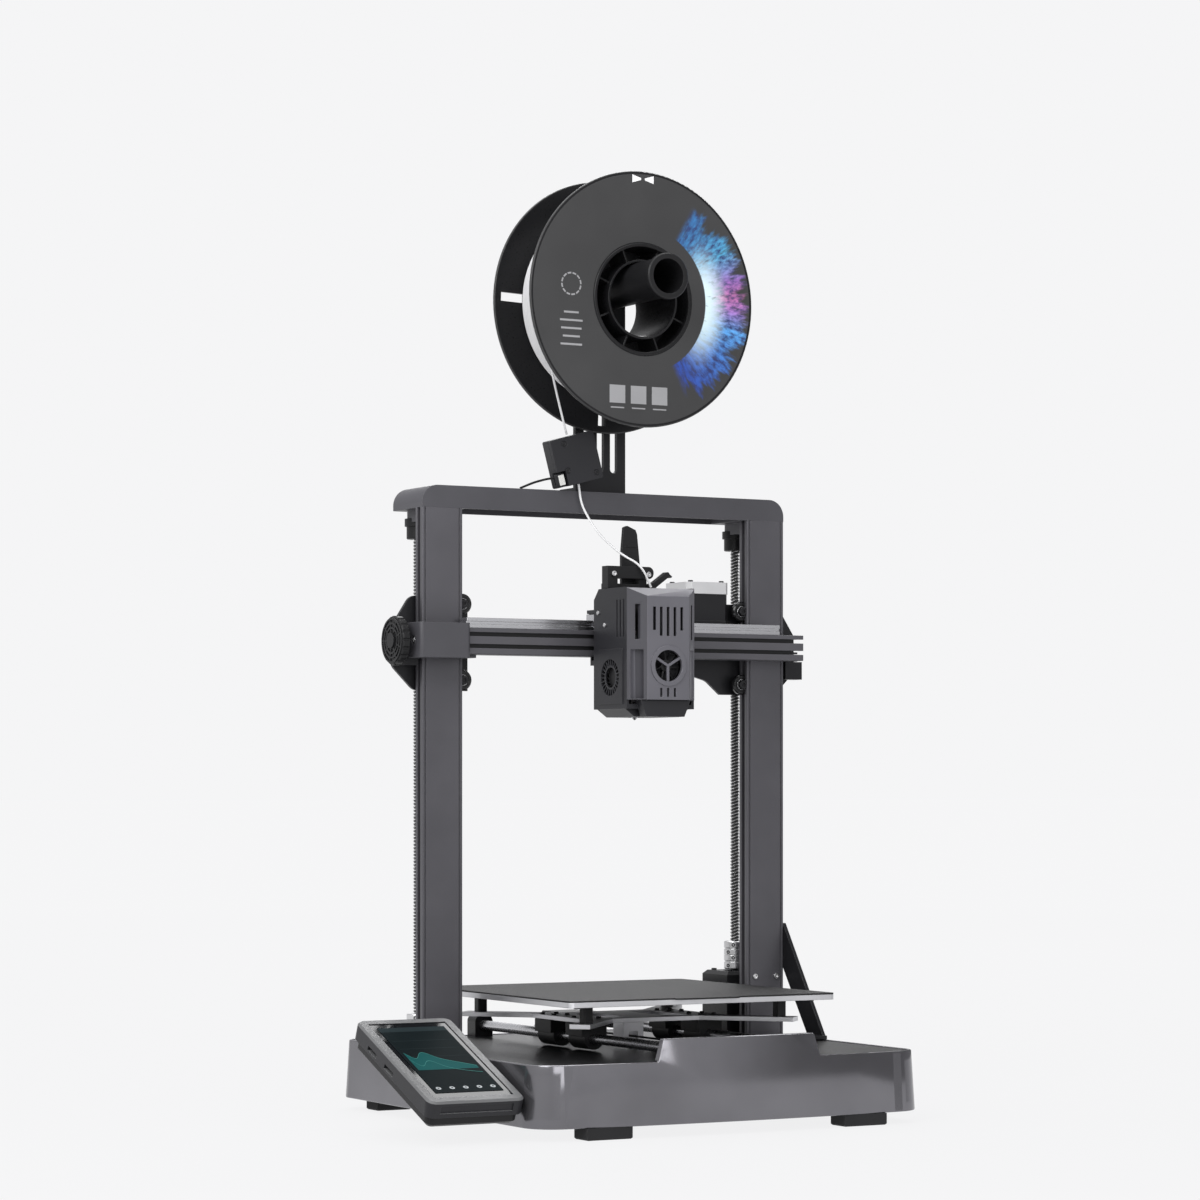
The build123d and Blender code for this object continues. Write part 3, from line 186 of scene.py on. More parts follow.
def make_studio():
    make_camera()
    make_world()
    make_floor()
    area_light("key", point(-1500, -900, 1500), point(0, 0, 350), (1.2, 1.2), 26)
    area_light("front", point(-300, -2600, 900), point(0, 0, 300), (1.6, 1.0), 16)
    area_light("top", point(0, 200, 2100), point(0, 0, 300), (1.6, 1.6), 22)
    area_light("back", point(1500, 2200, 2600), point(0, 0, 350), (1.6, 1.6), 40)


# ---------------------------------------------------------------- materials
def node_material(name):
    material = bpy.data.materials.new(name)
    material.use_nodes = True
    return material, material.node_tree.nodes, material.node_tree.links


def surface(name, color, roughness, metallic=0.0, grain=(900, 0.15), drift=0.12, wear=0.35,
            stretch=(1, 1, 1), round_edge=0.0006, spread=0.08, specular=0.4):
    """A solid finish: base colour that drifts, fine grain, uneven gloss, and lighter worn edges."""
    material, nodes, links = node_material(name)
    shader = nodes["Principled BSDF"]
    shader.inputs["Metallic"].default_value = metallic
    shader.inputs["Specular IOR Level"].default_value = specular
    coord = nodes.new("ShaderNodeTexCoord")
    mapping = nodes.new("ShaderNodeMapping")
    mapping.inputs["Scale"].default_value = stretch
    links.new(coord.outputs["Object"], mapping.inputs["Vector"])

    broad = nodes.new("ShaderNodeTexNoise")
    broad.inputs["Scale"].default_value = 14
    broad.inputs["Detail"].default_value = 3
    links.new(mapping.outputs[0], broad.inputs["Vector"])
    tint = nodes.new("ShaderNodeValToRGB")
    low, high = tint.color_ramp.elements
    low.position, high.position = 0.3, 0.7
    low.color = (*[c * (1 - drift) for c in color], 1)
    high.color = (*[min(1, c * (1 + drift)) for c in color], 1)
    links.new(broad.outputs["Fac"], tint.inputs["Fac"])

    fine = nodes.new("ShaderNodeTexNoise")
    fine.inputs["Scale"].default_value = grain[0]
    fine.inputs["Detail"].default_value = 2
    links.new(mapping.outputs[0], fine.inputs["Vector"])
    gloss = nodes.new("ShaderNodeMapRange")
    gloss.inputs["To Min"].default_value = max(0.02, roughness - spread)
    gloss.inputs["To Max"].default_value = min(1.0, roughness + spread)
    links.new(fine.outputs["Fac"], gloss.inputs["Value"])
    links.new(gloss.outputs[0], shader.inputs["Roughness"])

    rounded = nodes.new("ShaderNodeBevel")
    rounded.samples = 4
    rounded.inputs["Radius"].default_value = round_edge
    bump = nodes.new("ShaderNodeBump")
    bump.inputs["Strength"].default_value = grain[1]
    bump.inputs["Distance"].default_value = 0.0002
    links.new(fine.outputs["Fac"], bump.inputs["Height"])
    links.new(rounded.outputs[0], bump.inputs["Normal"])
    links.new(bump.outputs[0], shader.inputs["Normal"])

    flat = nodes.new("ShaderNodeNewGeometry")
    dot = nodes.new("ShaderNodeVectorMath")
    dot.operation = "DOT_PRODUCT"
    links.new(rounded.outputs[0], dot.inputs[0])
    links.new(flat.outputs["Normal"], dot.inputs[1])
    edge = nodes.new("ShaderNodeMapRange")
    edge.inputs["From Min"].default_value = 0.985
    edge.inputs["From Max"].default_value = 0.9
    edge.inputs["To Min"].default_value = 0.0
    edge.inputs["To Max"].default_value = wear
    links.new(dot.outputs["Value"], edge.inputs["Value"])
    mix = nodes.new("ShaderNodeMixRGB")
    mix.inputs["Color2"].default_value = (*[min(1, c * 1.9 + 0.03) for c in color], 1)
    links.new(edge.outputs[0], mix.inputs["Fac"])
    links.new(tint.outputs["Color"], mix.inputs["Color1"])
    links.new(mix.outputs[0], shader.inputs["Base Color"])
    return material


def math_node(tree, operation, first, second=None, third=None):
    """One Math node's output; each input is a socket or a number."""
    node = tree.nodes.new("ShaderNodeMath")
    node.operation = operation
    for slot, value in enumerate((first, second, third)):
        if isinstance(value, (int, float)):
            node.inputs[slot].default_value = value
        elif value is not None:
            tree.links.new(value, node.inputs[slot])
    return node.outputs[0]


def ramp_node(tree, factor, stops):
    """A colour ramp's output, from (position, colour) stops."""
    node = tree.nodes.new("ShaderNodeValToRGB")
    elements = node.color_ramp.elements
    elements[0].position, elements[0].color = stops[0][0], (*stops[0][1], 1)
    elements[1].position, elements[1].color = stops[-1][0], (*stops[-1][1], 1)
    for position, color in stops[1:-1]:
        elements.new(position).color = (*color, 1)
    tree.links.new(factor, node.inputs["Fac"])
    return node.outputs["Color"]


def smooth_step(tree, value, low, high):
    """0 below low and 1 above high, or the other way round."""
    node = tree.nodes.new("ShaderNodeMapRange")
    node.interpolation_type = "SMOOTHSTEP"
    node.inputs["From Min"].default_value = low
    node.inputs["From Max"].default_value = high
    tree.links.new(value, node.inputs["Value"])
    return node.outputs[0]


def mix_node(tree, factor, first, second):
    """Blend of two colours; each is a socket or a colour."""
    node = tree.nodes.new("ShaderNodeMixRGB")
    tree.links.new(factor, node.inputs["Fac"])
    for name, value in (("Color1", first), ("Color2", second)):
        if isinstance(value, tuple):
            node.inputs[name].default_value = (*value, 1)
        else:
            tree.links.new(value, node.inputs[name])
    return node.outputs[0]


def label_material():
    """Printed front of the spool: dark, with a burst of coloured rays down its right side."""
    material = surface("spool_print", (0.046, 0.046, 0.047), 0.42, grain=(1500, 0.08), wear=0.1,
                       specular=0.25)
    tree = material.node_tree
    nodes, links = tree.nodes, tree.links
    low, high = span("spool")
    hub = point((low.x + high.x) / 2, low.y, (low.z + high.z) / 2)
    coord = nodes.new("ShaderNodeTexCoord")
    offset = nodes.new("ShaderNodeVectorMath")
    offset.operation = "SUBTRACT"
    offset.inputs[1].default_value = hub
    links.new(coord.outputs["Object"], offset.inputs[0])
    split = nodes.new("ShaderNodeSeparateXYZ")
    links.new(offset.outputs[0], split.inputs[0])
    angle = math_node(tree, "ARCTAN2", split.outputs["Z"], split.outputs["X"])
    length = nodes.new("ShaderNodeVectorMath")
    length.operation = "LENGTH"
    links.new(offset.outputs[0], length.inputs[0])
    reach = math_node(tree, "MULTIPLY", length.outputs["Value"], 1000)

    def rays(turns, along, detail):
        """Noise drawn out along the radius."""
        place = nodes.new("ShaderNodeCombineXYZ")
        links.new(math_node(tree, "MULTIPLY", angle, turns), place.inputs[0])
        links.new(math_node(tree, "MULTIPLY", reach, along), place.inputs[1])
        noise = nodes.new("ShaderNodeTexNoise")
        noise.inputs["Scale"].default_value = 1.0
        noise.inputs["Detail"].default_value = detail
        noise.inputs["Roughness"].default_value = 0.62
        links.new(place.outputs[0], noise.inputs["Vector"])
        return noise.outputs["Fac"]

    swing = math_node(tree, "COSINE", math_node(tree, "MULTIPLY", angle, 1.5))
    swell = math_node(tree, "MULTIPLY", swing, 13)
    tips = math_node(tree, "MULTIPLY_ADD", rays(9, 0.02, 4), 60, 54)
    edge = math_node(tree, "ADD", tips, swell)
    inside = smooth_step(tree, math_node(tree, "SUBTRACT", edge, reach), -1.0, 9.0)
    inner = smooth_step(tree, reach, PRINT_START - 0.4, PRINT_START + 0.4)
    turn = math_node(tree, "ABSOLUTE", math_node(tree, "ADD", angle, 0.03))
    wedge = smooth_step(tree, turn, 1.08, 0.98)
    dust = smooth_step(tree, rays(16, 0.1, 9), 0.2, 0.46)
    cover = math_node(tree, "MULTIPLY", math_node(tree, "MULTIPLY", inside, inner),
                      math_node(tree, "MULTIPLY", wedge, dust))
    around = smooth_step(tree, angle, -1.1, 1.1)
    hue = ramp_node(tree, around, [
        (0.0, (0.03, 0.07, 0.35)), (0.14, (0.06, 0.2, 0.62)), (0.34, (0.12, 0.4, 0.85)),
        (0.46, (0.42, 0.22, 0.62)), (0.55, (0.62, 0.2, 0.46)), (0.66, (0.34, 0.16, 0.5)),
        (0.82, (0.1, 0.42, 0.68)), (1.0, (0.04, 0.16, 0.4))])
    fleck = smooth_step(tree, rays(22, 0.12, 8), 0.32, 0.66)
    shaded = mix_node(tree, fleck, (0.03, 0.04, 0.13), hue)
    heart = math_node(tree, "MULTIPLY", smooth_step(tree, reach, 80.0, 58.0),
                      smooth_step(tree, turn, 0.9, 0.15))
    glow = mix_node(tree, heart, shaded, (0.72, 0.9, 0.96))
    shader = nodes["Principled BSDF"]
    under = shader.inputs["Base Color"].links[0].from_socket
    links.new(mix_node(tree, cover, under, glow), shader.inputs["Base Color"])
    return material


def glow_material(name, color, strength):
    """A lit area of the display, with a faint pixel-like unevenness."""
    material = surface(name, color, 0.3, grain=(2500, 0.02), wear=0, drift=0.15, specular=0.06)
    shader = material.node_tree.nodes["Principled BSDF"]
    shader.inputs["IOR"].default_value = 1.08
    shader.inputs["Emission Color"].default_value = (*color, 1)
    shader.inputs["Emission Strength"].default_value = strength
    return material


SLOT_FINISH = {
    "graphite_paint": dict(color=(0.088, 0.086, 0.096), roughness=0.38, metallic=0.35, grain=(1600, 0.10),
                           specular=0.35),
    "graphite_plastic": dict(color=(0.064, 0.063, 0.071), roughness=0.46, grain=(1400, 0.18), specular=0.3),
    "black_plastic": dict(color=(0.010, 0.010, 0.011), roughness=0.42, grain=(1400, 0.15), specular=0.25),
    "gloss_black": dict(color=(0.009, 0.009, 0.010), roughness=0.3, grain=(700, 0.04), specular=0.25),
    "grey_plastic": dict(color=(0.118, 0.116, 0.132), roughness=0.40, metallic=0.2, grain=(1500, 0.12)),
    "slate_plastic": dict(color=(0.017, 0.017, 0.02), roughness=0.42, grain=(1400, 0.15), specular=0.3),
    "light_plastic": dict(color=(0.72, 0.72, 0.73), roughness=0.4, grain=(1200, 0.1), wear=0.1),
    "textured_black": dict(color=(0.016, 0.016, 0.017), roughness=0.6, grain=(2600, 0.9), spread=0.2,
                           specular=0.25),
    "bright_steel": dict(color=(0.55, 0.55, 0.57), roughness=0.26, metallic=1.0, grain=(700, 0.06),
                         stretch=(0.04, 1, 1)),
    "screw_steel": dict(color=(0.62, 0.62, 0.63), roughness=0.3, metallic=1.0, grain=(900, 0.08)),
    "bare_aluminium": dict(color=(0.62, 0.62, 0.64), roughness=0.36, metallic=1.0, grain=(1100, 0.12)),
    "black_anodised": dict(color=(0.014, 0.014, 0.016), roughness=0.36, metallic=0.2, grain=(1300, 0.08),
                           wear=0.5, specular=0.3),
    "nut_brass": dict(color=(0.76, 0.55, 0.24), roughness=0.28, metallic=1.0, grain=(900, 0.1)),
    "belt_rubber": dict(color=(0.012, 0.012, 0.013), roughness=0.7, grain=(1200, 0.4), specular=0.2),
    "foot_rubber": dict(color=(0.02, 0.02, 0.021), roughness=0.75, grain=(1000, 0.5), specular=0.2),
    "screen_cover": dict(color=(0.004, 0.005, 0.006), roughness=0.1, grain=(300, 0.01), specular=0.15),
    "board_green": dict(color=(0.015, 0.09, 0.045), roughness=0.4, grain=(900, 0.2)),
}
MATERIALS = {}


def finish_of(slot):
    """The material of a record slot, made once."""
    if slot not in MATERIALS:
        MATERIALS[slot] = surface(slot, **SLOT_FINISH[slot])
    return MATERIALS[slot]


def own_finish(name, **settings):
    """A material for one kind of piece, made once."""
    if name not in MATERIALS:
        MATERIALS[name] = surface(name, **settings)
    return MATERIALS[name]


def interior_shade_finish():
    """Painted shade for the inside of the head: a near-black finish for its inner faces and for the sheets
    behind its openings.
    """
    return own_finish("duct_dark", color=(0.018, 0.018, 0.02), roughness=0.55, specular=0.2)


def repaint(node, material, where):
    """Give the faces of a node whose middle (machine mm) and normal pass a test their own finish."""
    mesh = NODES[node].data
    mesh.materials.append(material)
    for face in mesh.polygons:
        if where(machine(face.center), face.normal):
            face.material_index = len(mesh.materials) - 1


def part_finishes():
    """Second finishes on nodes that aren't one colour all over, and painted shade in the beam's groove, on
    the head cover's left side and on its inner faces.
    """
    dark = own_finish("groove_dark", color=(0.012, 0.012, 0.013), roughness=0.5, specular=0.2)
    cap = own_finish("motor_cap", color=(0.62, 0.62, 0.63), roughness=0.42, metallic=0.3, grain=(900, 0.1))
    bezel = own_finish("bezel_top", color=(0.125, 0.127, 0.13), roughness=0.5, grain=(1800, 0.3), wear=0.6)
    front = span("x_beam")[0].y
    # Painted shade: the faces inside the beam's front groove get a near-black finish.
    repaint("x_beam", dark, lambda spot, normal: front + 0.4 < spot.y < front + 2.2)
    low, high = span("x_motor")
    repaint("x_motor", cap, lambda spot, normal: spot.z > high.z - 9.6 and spot.z > low.z + 30)
    screen_up = Vector((0, -math.sin(SCREEN_TILT), math.cos(SCREEN_TILT)))
    repaint("screen_body", bezel, lambda spot, normal: normal.dot(screen_up) > 0.6)
    flange = own_finish("flange_edge", color=(0.03, 0.03, 0.031), roughness=0.3, wear=0.8, specular=0.4)
    middle = (span("spool")[0].z + span("spool")[1].z) / 2
    repaint("spool", flange, lambda spot, normal: math.hypot(spot.x, spot.z - middle) > RIM_START)
    foil = own_finish("bed_underside", color=(0.03, 0.03, 0.032), roughness=0.6, grain=(500, 0.5))
    repaint("heated_bed", foil, lambda spot, normal: normal.z < -0.5)
    NODES["base_shell"].data.materials[0] = own_finish(
        "base_paint", color=(0.175, 0.172, 0.186), roughness=0.17, metallic=0.78, grain=(1600, 0.04),
        specular=0.4, spread=0.03)
    # Painted shade: the head cover's left-facing faces get a darker finish.
    shade = own_finish("cover_side", color=(0.045, 0.044, 0.052), roughness=0.45, grain=(1500, 0.12))
    repaint("head_cover", shade, lambda spot, normal: normal.x < -0.25 and spot.x < COVER_LEFT)
    face = span("head_cover")[0].y
    # Painted shade: the cover's inner faces, which face into the machine, get the near-black finish.
    repaint("head_cover", interior_shade_finish(), lambda spot, normal: normal.y > 0.3 and spot.y > face + 1.2)


def dress_nodes():
    """Give every CAD node the finish of its slot, with softly broken edges where they show."""
    for entry in RECORD["subparts"]:
        node = NODES[entry["node"]]
        node.data.materials.clear()
        node.data.materials.append(finish_of(entry["material_slot"]))
    roller = own_finish("roller_gloss", color=(0.008, 0.008, 0.009), roughness=0.16, grain=(800, 0.03),
                        wear=0.5)
    for name in NODES:
        if name.endswith("_wheel"):
            NODES[name].data.materials[0] = roller
    part_finishes()
    for name, width in SOFT_EDGES.items():
        weld = NODES[name].modifiers.new("weld", "WELD")
        weld.merge_threshold = 0.00002
        bevel = NODES[name].modifiers.new("edge", "BEVEL")
        bevel.width = width * MM
        bevel.segments = 2
        bevel.limit_method = "ANGLE"
        bevel.angle_limit = math.radians(40)
        bevel.use_clamp_overlap = True
        bevel.harden_normals = False


# ---------------------------------------------------------------- piece building
def piece(name, verts, faces, body, slot, material=None):
    """A mesh piece from scene-space points, riding on a body."""
    mesh = bpy.data.meshes.new(name)
    mesh.from_pydata([tuple(v) for v in verts], [], faces)
    work = bmesh.new()
    work.from_mesh(mesh)
    bmesh.ops.recalc_face_normals(work, faces=work.faces)
    work.to_mesh(mesh)
    work.free()
    made = bpy.data.objects.new(name, mesh)
    bpy.context.scene.collection.objects.link(made)
    mesh.materials.append(material or finish_of(slot))
    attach(made, body)
    return made


def turn_to(axis):
    """Rotation that takes +Z to an axis."""
    return Vector((0, 0, 1)).rotation_difference(Vector(axis)).to_matrix()


def revolve(profile, steps, centre, axis):
    """Points and faces of an open profile of (radius, height) in mm, turned about an axis."""
    turn = turn_to(axis)
    verts, faces = [], []
    for radius, height in profile:
        for i in range(steps):
            a = math.tau * i / steps
            local = Vector((radius * math.cos(a), radius * math.sin(a), height)) * MM
            verts.append(centre + turn @ local)
    for ring in range(len(profile) - 1):
        for i in range(steps):
            j = (i + 1) % steps
            faces.append((ring * steps + i, ring * steps + j, (ring + 1) * steps + j, (ring + 1) * steps + i))
    return verts, faces


def turned(name, profile, centre, axis, body, slot, material=None, steps=32):
    """A lathe-turned piece; its profile starts and ends on the axis or closes on itself."""
    verts, faces = revolve(profile, steps, centre, axis)
    made = piece(name, verts, faces, body, slot, material)
    for face in made.data.polygons:
        face.use_smooth = True
    made.data.set_sharp_from_angle(angle=math.radians(35))
    return made


def socket_screw(name, centre, axis, radius, body, slot="black_anodised", height=None):
    """Round screw head with a hexagonal socket, standing on a point along an axis."""
    height = height or radius * 0.75
    steps = 24
    turn = turn_to(axis)
    hexagon = []
    for i in range(steps):
        a = math.tau * i / steps
        side = (a % (math.pi / 3)) - math.pi / 6
        hexagon.append(0.5 * radius * math.cos(math.pi / 6) / math.cos(side))
    rings = [([radius] * steps, 0), ([radius] * steps, height * 0.82), ([radius * 0.93] * steps, height),
             (hexagon, height), (hexagon, height * 0.35), ([0.001] * steps, height * 0.3)]
    verts, faces = [], []
    for radii, level in rings:
        for i, r in enumerate(radii):
            a = math.tau * i / steps
            verts.append(centre + turn @ (Vector((r * math.cos(a), r * math.sin(a), level)) * MM))
    for k in range(len(rings) - 1):
        for i in range(steps):
            j = (i + 1) % steps
            faces.append((k * steps + i, k * steps + j, (k + 1) * steps + j, (k + 1) * steps + i))
    return piece(name, verts, faces, body, slot)


def slab(name, low, high, body, slot, material=None, edge=0.3, turn=None):
    """A box piece with broken edges, from machine-space corners in mm."""
    corners = [(x, y, z) for x in (low[0], high[0]) for y in (low[1], high[1]) for z in (low[2], high[2])]
    verts = [turn(*c) if turn else point(*c) for c in corners]
    made = piece(name, verts, BOX_FACES, body, slot, material)
    if edge:
        bevel = made.modifiers.new("edge", "BEVEL")
        bevel.width = edge * MM
        bevel.segments = 2
    return made


# ---------------------------------------------------------------- lead screws and wheels
def lead_screw(side):
    """Trapezoid thread wound up the screw, on its clamped coupler."""
    node = side + "_lead_screw"
    low, high = span(node)
    x, y = (low.x + high.x) / 2, (low.y + high.y) / 2
    bottom, top = low.z + COUPLER_COVERS, high.z
    pitch = THREAD_LEAD / THREAD_STARTS
    steps, rows_per_pitch = 24, 6
    rows = int((top - bottom) / pitch * rows_per_pitch)
    verts, faces = [], []
    for row in range(rows + 1):
        z = bottom + (top - bottom) * row / rows
        for i in range(steps):
            phase = (z / pitch - THREAD_STARTS * i / steps) % 1.0
            crest = min(1, max(0, 4.4 * (0.5 - abs(phase - 0.5)) - 0.9))
            r = THREAD_ROOT + THREAD_DEPTH * crest
            a = math.tau * i / steps
            verts.append(point(x + r * math.cos(a), y + r * math.sin(a), z))
    for row in range(rows):
        for i in range(steps):
            j = (i + 1) % steps
            faces.append((row * steps + i, row * steps + j, (row + 1) * steps + j, (row + 1) * steps + i))
    faces.append(tuple(range(steps)))
    faces.append(tuple(rows * steps + i for i in reversed(range(steps))))
    thread = piece(side + "_thread", verts, faces, node, "screw_steel")
    thread.data.materials.append(own_finish("thread_shadow", color=(0.05, 0.05, 0.05), roughness=0.5))
    for face in thread.data.polygons:
        spot = machine(face.center)
        if math.hypot(spot.x - x, spot.y - y) < THREAD_SHADOW:
            face.material_index = 1
    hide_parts(node)
    base = low.z
    profile = [(3.9, 0), (8.3, 0), (9, 0.7), (9, 5.6), (8.3, 5.9), (8.3, 6.7), (9, 7.0), (9, 11.2),
               (8.6, 11.5), (9, 11.8), (9, 16.2), (8.3, 16.5), (8.3, 17.3), (9, 17.6), (9, 22.3), (8.3, 23),
               (3.9, 23), (3.9, 0)]
    turned(side + "_coupler", profile, point(x, y, base), (0, 0, 1), node, "screw_steel")
    for k, level in enumerate((3, 9.5, 14, 20)):
        away = math.radians(230 if k % 2 else 200)
        axis = (math.cos(away), math.sin(away), 0)
        centre = point(x + 8.6 * axis[0], y + 8.6 * axis[1], base + level)
        socket_screw(side + "_coupler_screw_" + str(k), centre, axis, 1.5, node, height=0.6)


def wheel_trim(side, level):
    """Bearing shields and the bolt at the middle of a roller."""
    node = side + "_" + level + "_wheel"
    low, high = span(node)
    x, z = (low.x + high.x) / 2, (low.z + high.z) / 2
    shield = [(2.7, 0), (4.3, 0), (4.3, 0.35), (2.7, 0.35), (2.7, 0)]
    turned(node + "_shield", shield, point(x, low.y + 0.35, z), (0, -1, 0), node, "bright_steel")
    socket_screw(node + "_bolt", point(x, low.y - 0.65, z), (0, -1, 0), 3.4, "gantry", height=2.2)


def cap_bearings():
    """Black bearing housings under the top cover, one over each lead screw."""
    for side in ("left", "right"):
        low, high = span(side + "_lead_screw")
        x, y = (low.x + high.x) / 2, (low.y + high.y) / 2
        under = span("top_cover")[0].z
        outline = [(4.6, -13), (8.4, -13), (9.0, -12.4), (9.0, -3), (10.5, -3), (10.5, 3), (4.6, 3),
                   (4.6, -13)]
        turned(side + "_cap_bearing", outline, point(x, y, under), (0, 0, 1), "frame", "black_plastic")


# ---------------------------------------------------------------- spool
def winding():
    """Filament wound side by side, as one ribbed skin with slightly uneven turns."""
    low, high = span("filament_winding")
    outer = (high.x - low.x) / 2
    pitch = 2.4
    count = int((high.y - low.y) / pitch)
    pitch = (high.y - low.y) / count
    chance = random.Random(4)
    profile = []
    for turn in range(count):
        height = outer - 0.4 + chance.uniform(-0.4, 0.2)
        for step in range(6):
            bulge = math.sin(math.pi * (step + 0.5) / 6)
            profile.append((height - 2.2 * (1 - bulge), (turn + (step + 0.5) / 6) * pitch))
    profile = [(43.8, 0)] + profile + [(43.8, high.y - low.y), (43.8, 0)]
    centre = point(0, low.y, (low.z + high.z) / 2)
    strand = own_finish("wound_plastic", color=(0.66, 0.66, 0.67), roughness=0.45, grain=(1200, 0.1),
                        wear=0.5, round_edge=0.0002)
    skin = turned("wound_strands", profile, centre, (0, 1, 0), "spool", "light_plastic", strand, steps=160)
    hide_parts("filament_winding")


def spool_trim():
    """Printed disc on the front flange, the hub's lip and two pale anchor holes by the rim."""
    low, high = span("spool")
    centre = point(0, low.y + 0.05, (low.z + high.z) / 2)
    print_face = [(44.5, 0), (44.5, 0.16), (97.6, 0.16), (97.6, 0), (44.5, 0)]
    turned("printed_disc", print_face, centre, (0, -1, 0), "spool", "gloss_black", label_material(),
           steps=160)
    lip = [(41.4, -1.2), (41.4, 0.6), (43.4, 0.6), (43.8, 0.2), (43.8, -1.2), (41.4, -1.2)]
    turned("hub_lip", lip, centre, (0, -1, 0), "spool", "gloss_black", steps=96)
    for side in (-1, 1):
        hole = point(side * 5.6, low.y - 0.13, (low.z + high.z) / 2 + 93.8)
        verts = [hole + Vector((dx * MM, 0, dz * MM)) for dx, dz in
                 ((-4 * side, 0.7), (4 * side, 3.1), (4 * side, -3.1), (-4 * side, -0.7))]
        piece("anchor_hole_" + ("left" if side < 0 else "right"), verts, [(0, 1, 2, 3)], "spool",
              "light_plastic", own_finish("bright_gap", color=(0.85, 0.85, 0.86), roughness=0.6))


def spool_marks():
    """Plain generic marks on the spool's front: an open ring, a few short bars and three squares."""
    low, high = span("spool")
    level = (low.z + high.z) / 2
    ink = own_finish("mark_ink", color=(0.30, 0.30, 0.31), roughness=0.5, grain=(1500, 0.1), wear=0.1)

    def mark(name, outline):
        verts = [point(x, low.y - 0.12, level + z) for x, z in outline]
        piece(name, verts, [tuple(range(len(verts)))], "spool", "light_plastic", ink)

    def bar(name, x, z, width, height):
        mark(name, [(x - width / 2, z - height / 2), (x + width / 2, z - height / 2),
                    (x + width / 2, z + height / 2), (x - width / 2, z + height / 2)])
    for k, width in enumerate((13, 20, 18, 15, 19)):
        bar("spool_bar_" + str(k), -64, -14 - 6.2 * k, width, 1.5)
    for k in range(3):
        bar("spool_square_" + str(k), -23 + 19 * k, -75, 14, 14)
        bar("spool_square_line_" + str(k), -23 + 19 * k, -85.5, 12, 1.0)
    ring = []
    for k in range(49):
        a = math.tau * k / 48
        ring.append((-64 + 9 * math.cos(a), 8 + 9 * math.sin(a)))
    for k in range(48):
        (xa, za), (xb, zb) = ring[k], ring[k + 1]
        if k % 4 != 3:
            inner = [(-64 + (x + 64) * 0.86, 8 + (z - 8) * 0.86) for x, z in ((xb, zb), (xa, za))]
            mark("spool_ring_" + str(k), [(xa, za), (xb, zb)] + inner)


# ---------------------------------------------------------------- touch screen
def screen_frame():
    """A function from screen-plane millimetres to scene points, and the glass's size."""
    low, high = span("screen_glass")
    width = high.x - low.x
    length = (high.y - low.y) / math.cos(SCREEN_TILT) - 1.4 * math.tan(SCREEN_TILT)
    up = Vector((0, math.cos(SCREEN_TILT), math.sin(SCREEN_TILT)))
    out = Vector((0, -math.sin(SCREEN_TILT), math.cos(SCREEN_TILT)))
    start = Vector((low.x, low.y, low.z)) + out * 1.6

    def place(across, along, lift):
        spot = start + Vector((across, 0, 0)) + up * along + out * lift
        return point(*spot)
    return place, width, length


def panel(name, place, x, y, lift, material):
    """A flat lit area on the display."""
    corners = ((x[0], y[0]), (x[1], y[0]), (x[1], y[1]), (x[0], y[1]))
    verts = [place(across, along, lift) for across, along in corners]
    piece(name, verts, [(0, 1, 2, 3)], "frame", "screen_cover", material)


def circle(place, centre, radius, steps, lift):
    """Points round a circle on the screen's plane."""
    turns = [math.tau * i / steps for i in range(steps)]
    return [place(centre[0] + radius * math.cos(a), centre[1] + radius * math.sin(a), lift) for a in turns]


def display():
    """A plain made-up screen: a header bar, one filled curve, two lines and a row of round icons."""
    place, width, length = screen_frame()
    back = glow_material("display_back", (0.006, 0.009, 0.010), 0.4)
    pale = glow_material("display_pale", (0.30, 0.32, 0.33), 0.5)
    teal = glow_material("display_teal", (0.008, 0.055, 0.055), 0.45)
    line = glow_material("display_line", (0.03, 0.12, 0.11), 0.7)
    grid = glow_material("display_grid", (0.014, 0.02, 0.022), 0.5)
    side = DISPLAY_MARGIN
    panel("display_area", place, (side, width - side), (8, length - 6), 0.05, back)
    panel("display_header", place, (side, width - side), (length - 13, length - 6), 0.09, grid)
    for k in range(4):
        level = 52 + 13 * k
        panel("display_grid_" + str(k), place, (side + 3, width - side - 3), (level, level + 0.4), 0.10, grid)
    steps = 36
    edge = []
    for i in range(steps + 1):
        t = i / steps
        bump = 6 * math.exp(-((t - 0.32) / 0.13) ** 2)
        dip = 9 * math.exp(-((t - 0.12) / 0.1) ** 2)
        edge.append((side + 3 + (width - 2 * side - 6) * t, 74 - 26 * t + bump - dip))
    verts = [place(x, 44, 0.13) for x, _ in edge] + [place(x, y, 0.13) for x, y in edge]
    faces = [(i, i + 1, steps + 2 + i, steps + 1 + i) for i in range(steps)]
    piece("display_fill", verts, faces, "frame", "screen_cover", teal)
    for k, drop in enumerate((0, 14)):
        level = [(x, y - drop * (1 - (i / steps - 0.5) ** 2)) for i, (x, y) in enumerate(edge)]
        verts = [place(x, y - 0.3, 0.17) for x, y in level] + [place(x, y + 0.3, 0.17) for x, y in level]
        piece("display_curve_" + str(k), verts, faces, "frame", "screen_cover", line)
    for k in range(5):
        centre = (side + (k + 0.5) * (width - 2 * side) / 5, 15)
        rim = circle(place, centre, 2.1, 20, 0.11)
        piece("display_icon_" + str(k), rim, [tuple(range(20))], "frame", "screen_cover", pale)
        dot = circle(place, centre, 0.9, 6, 0.15)
        piece("display_mark_" + str(k), dot, [tuple(range(6))], "frame", "screen_cover", back)


def screen_ports():
    """Black sockets inside the two openings of the screen's left side."""
    place = screen_frame()[0]
    for k, start in enumerate((54.5, 84.5)):
        corners = []
        for lift in (-10.0, -8.4):
            for along in (start + 1.5, start + 12.5):
                for across in (-5.2, -3.0):
                    corners.append(place(across, along, lift))
        piece("screen_port_" + str(k), corners, BOX_FACES, "frame", "black_plastic")


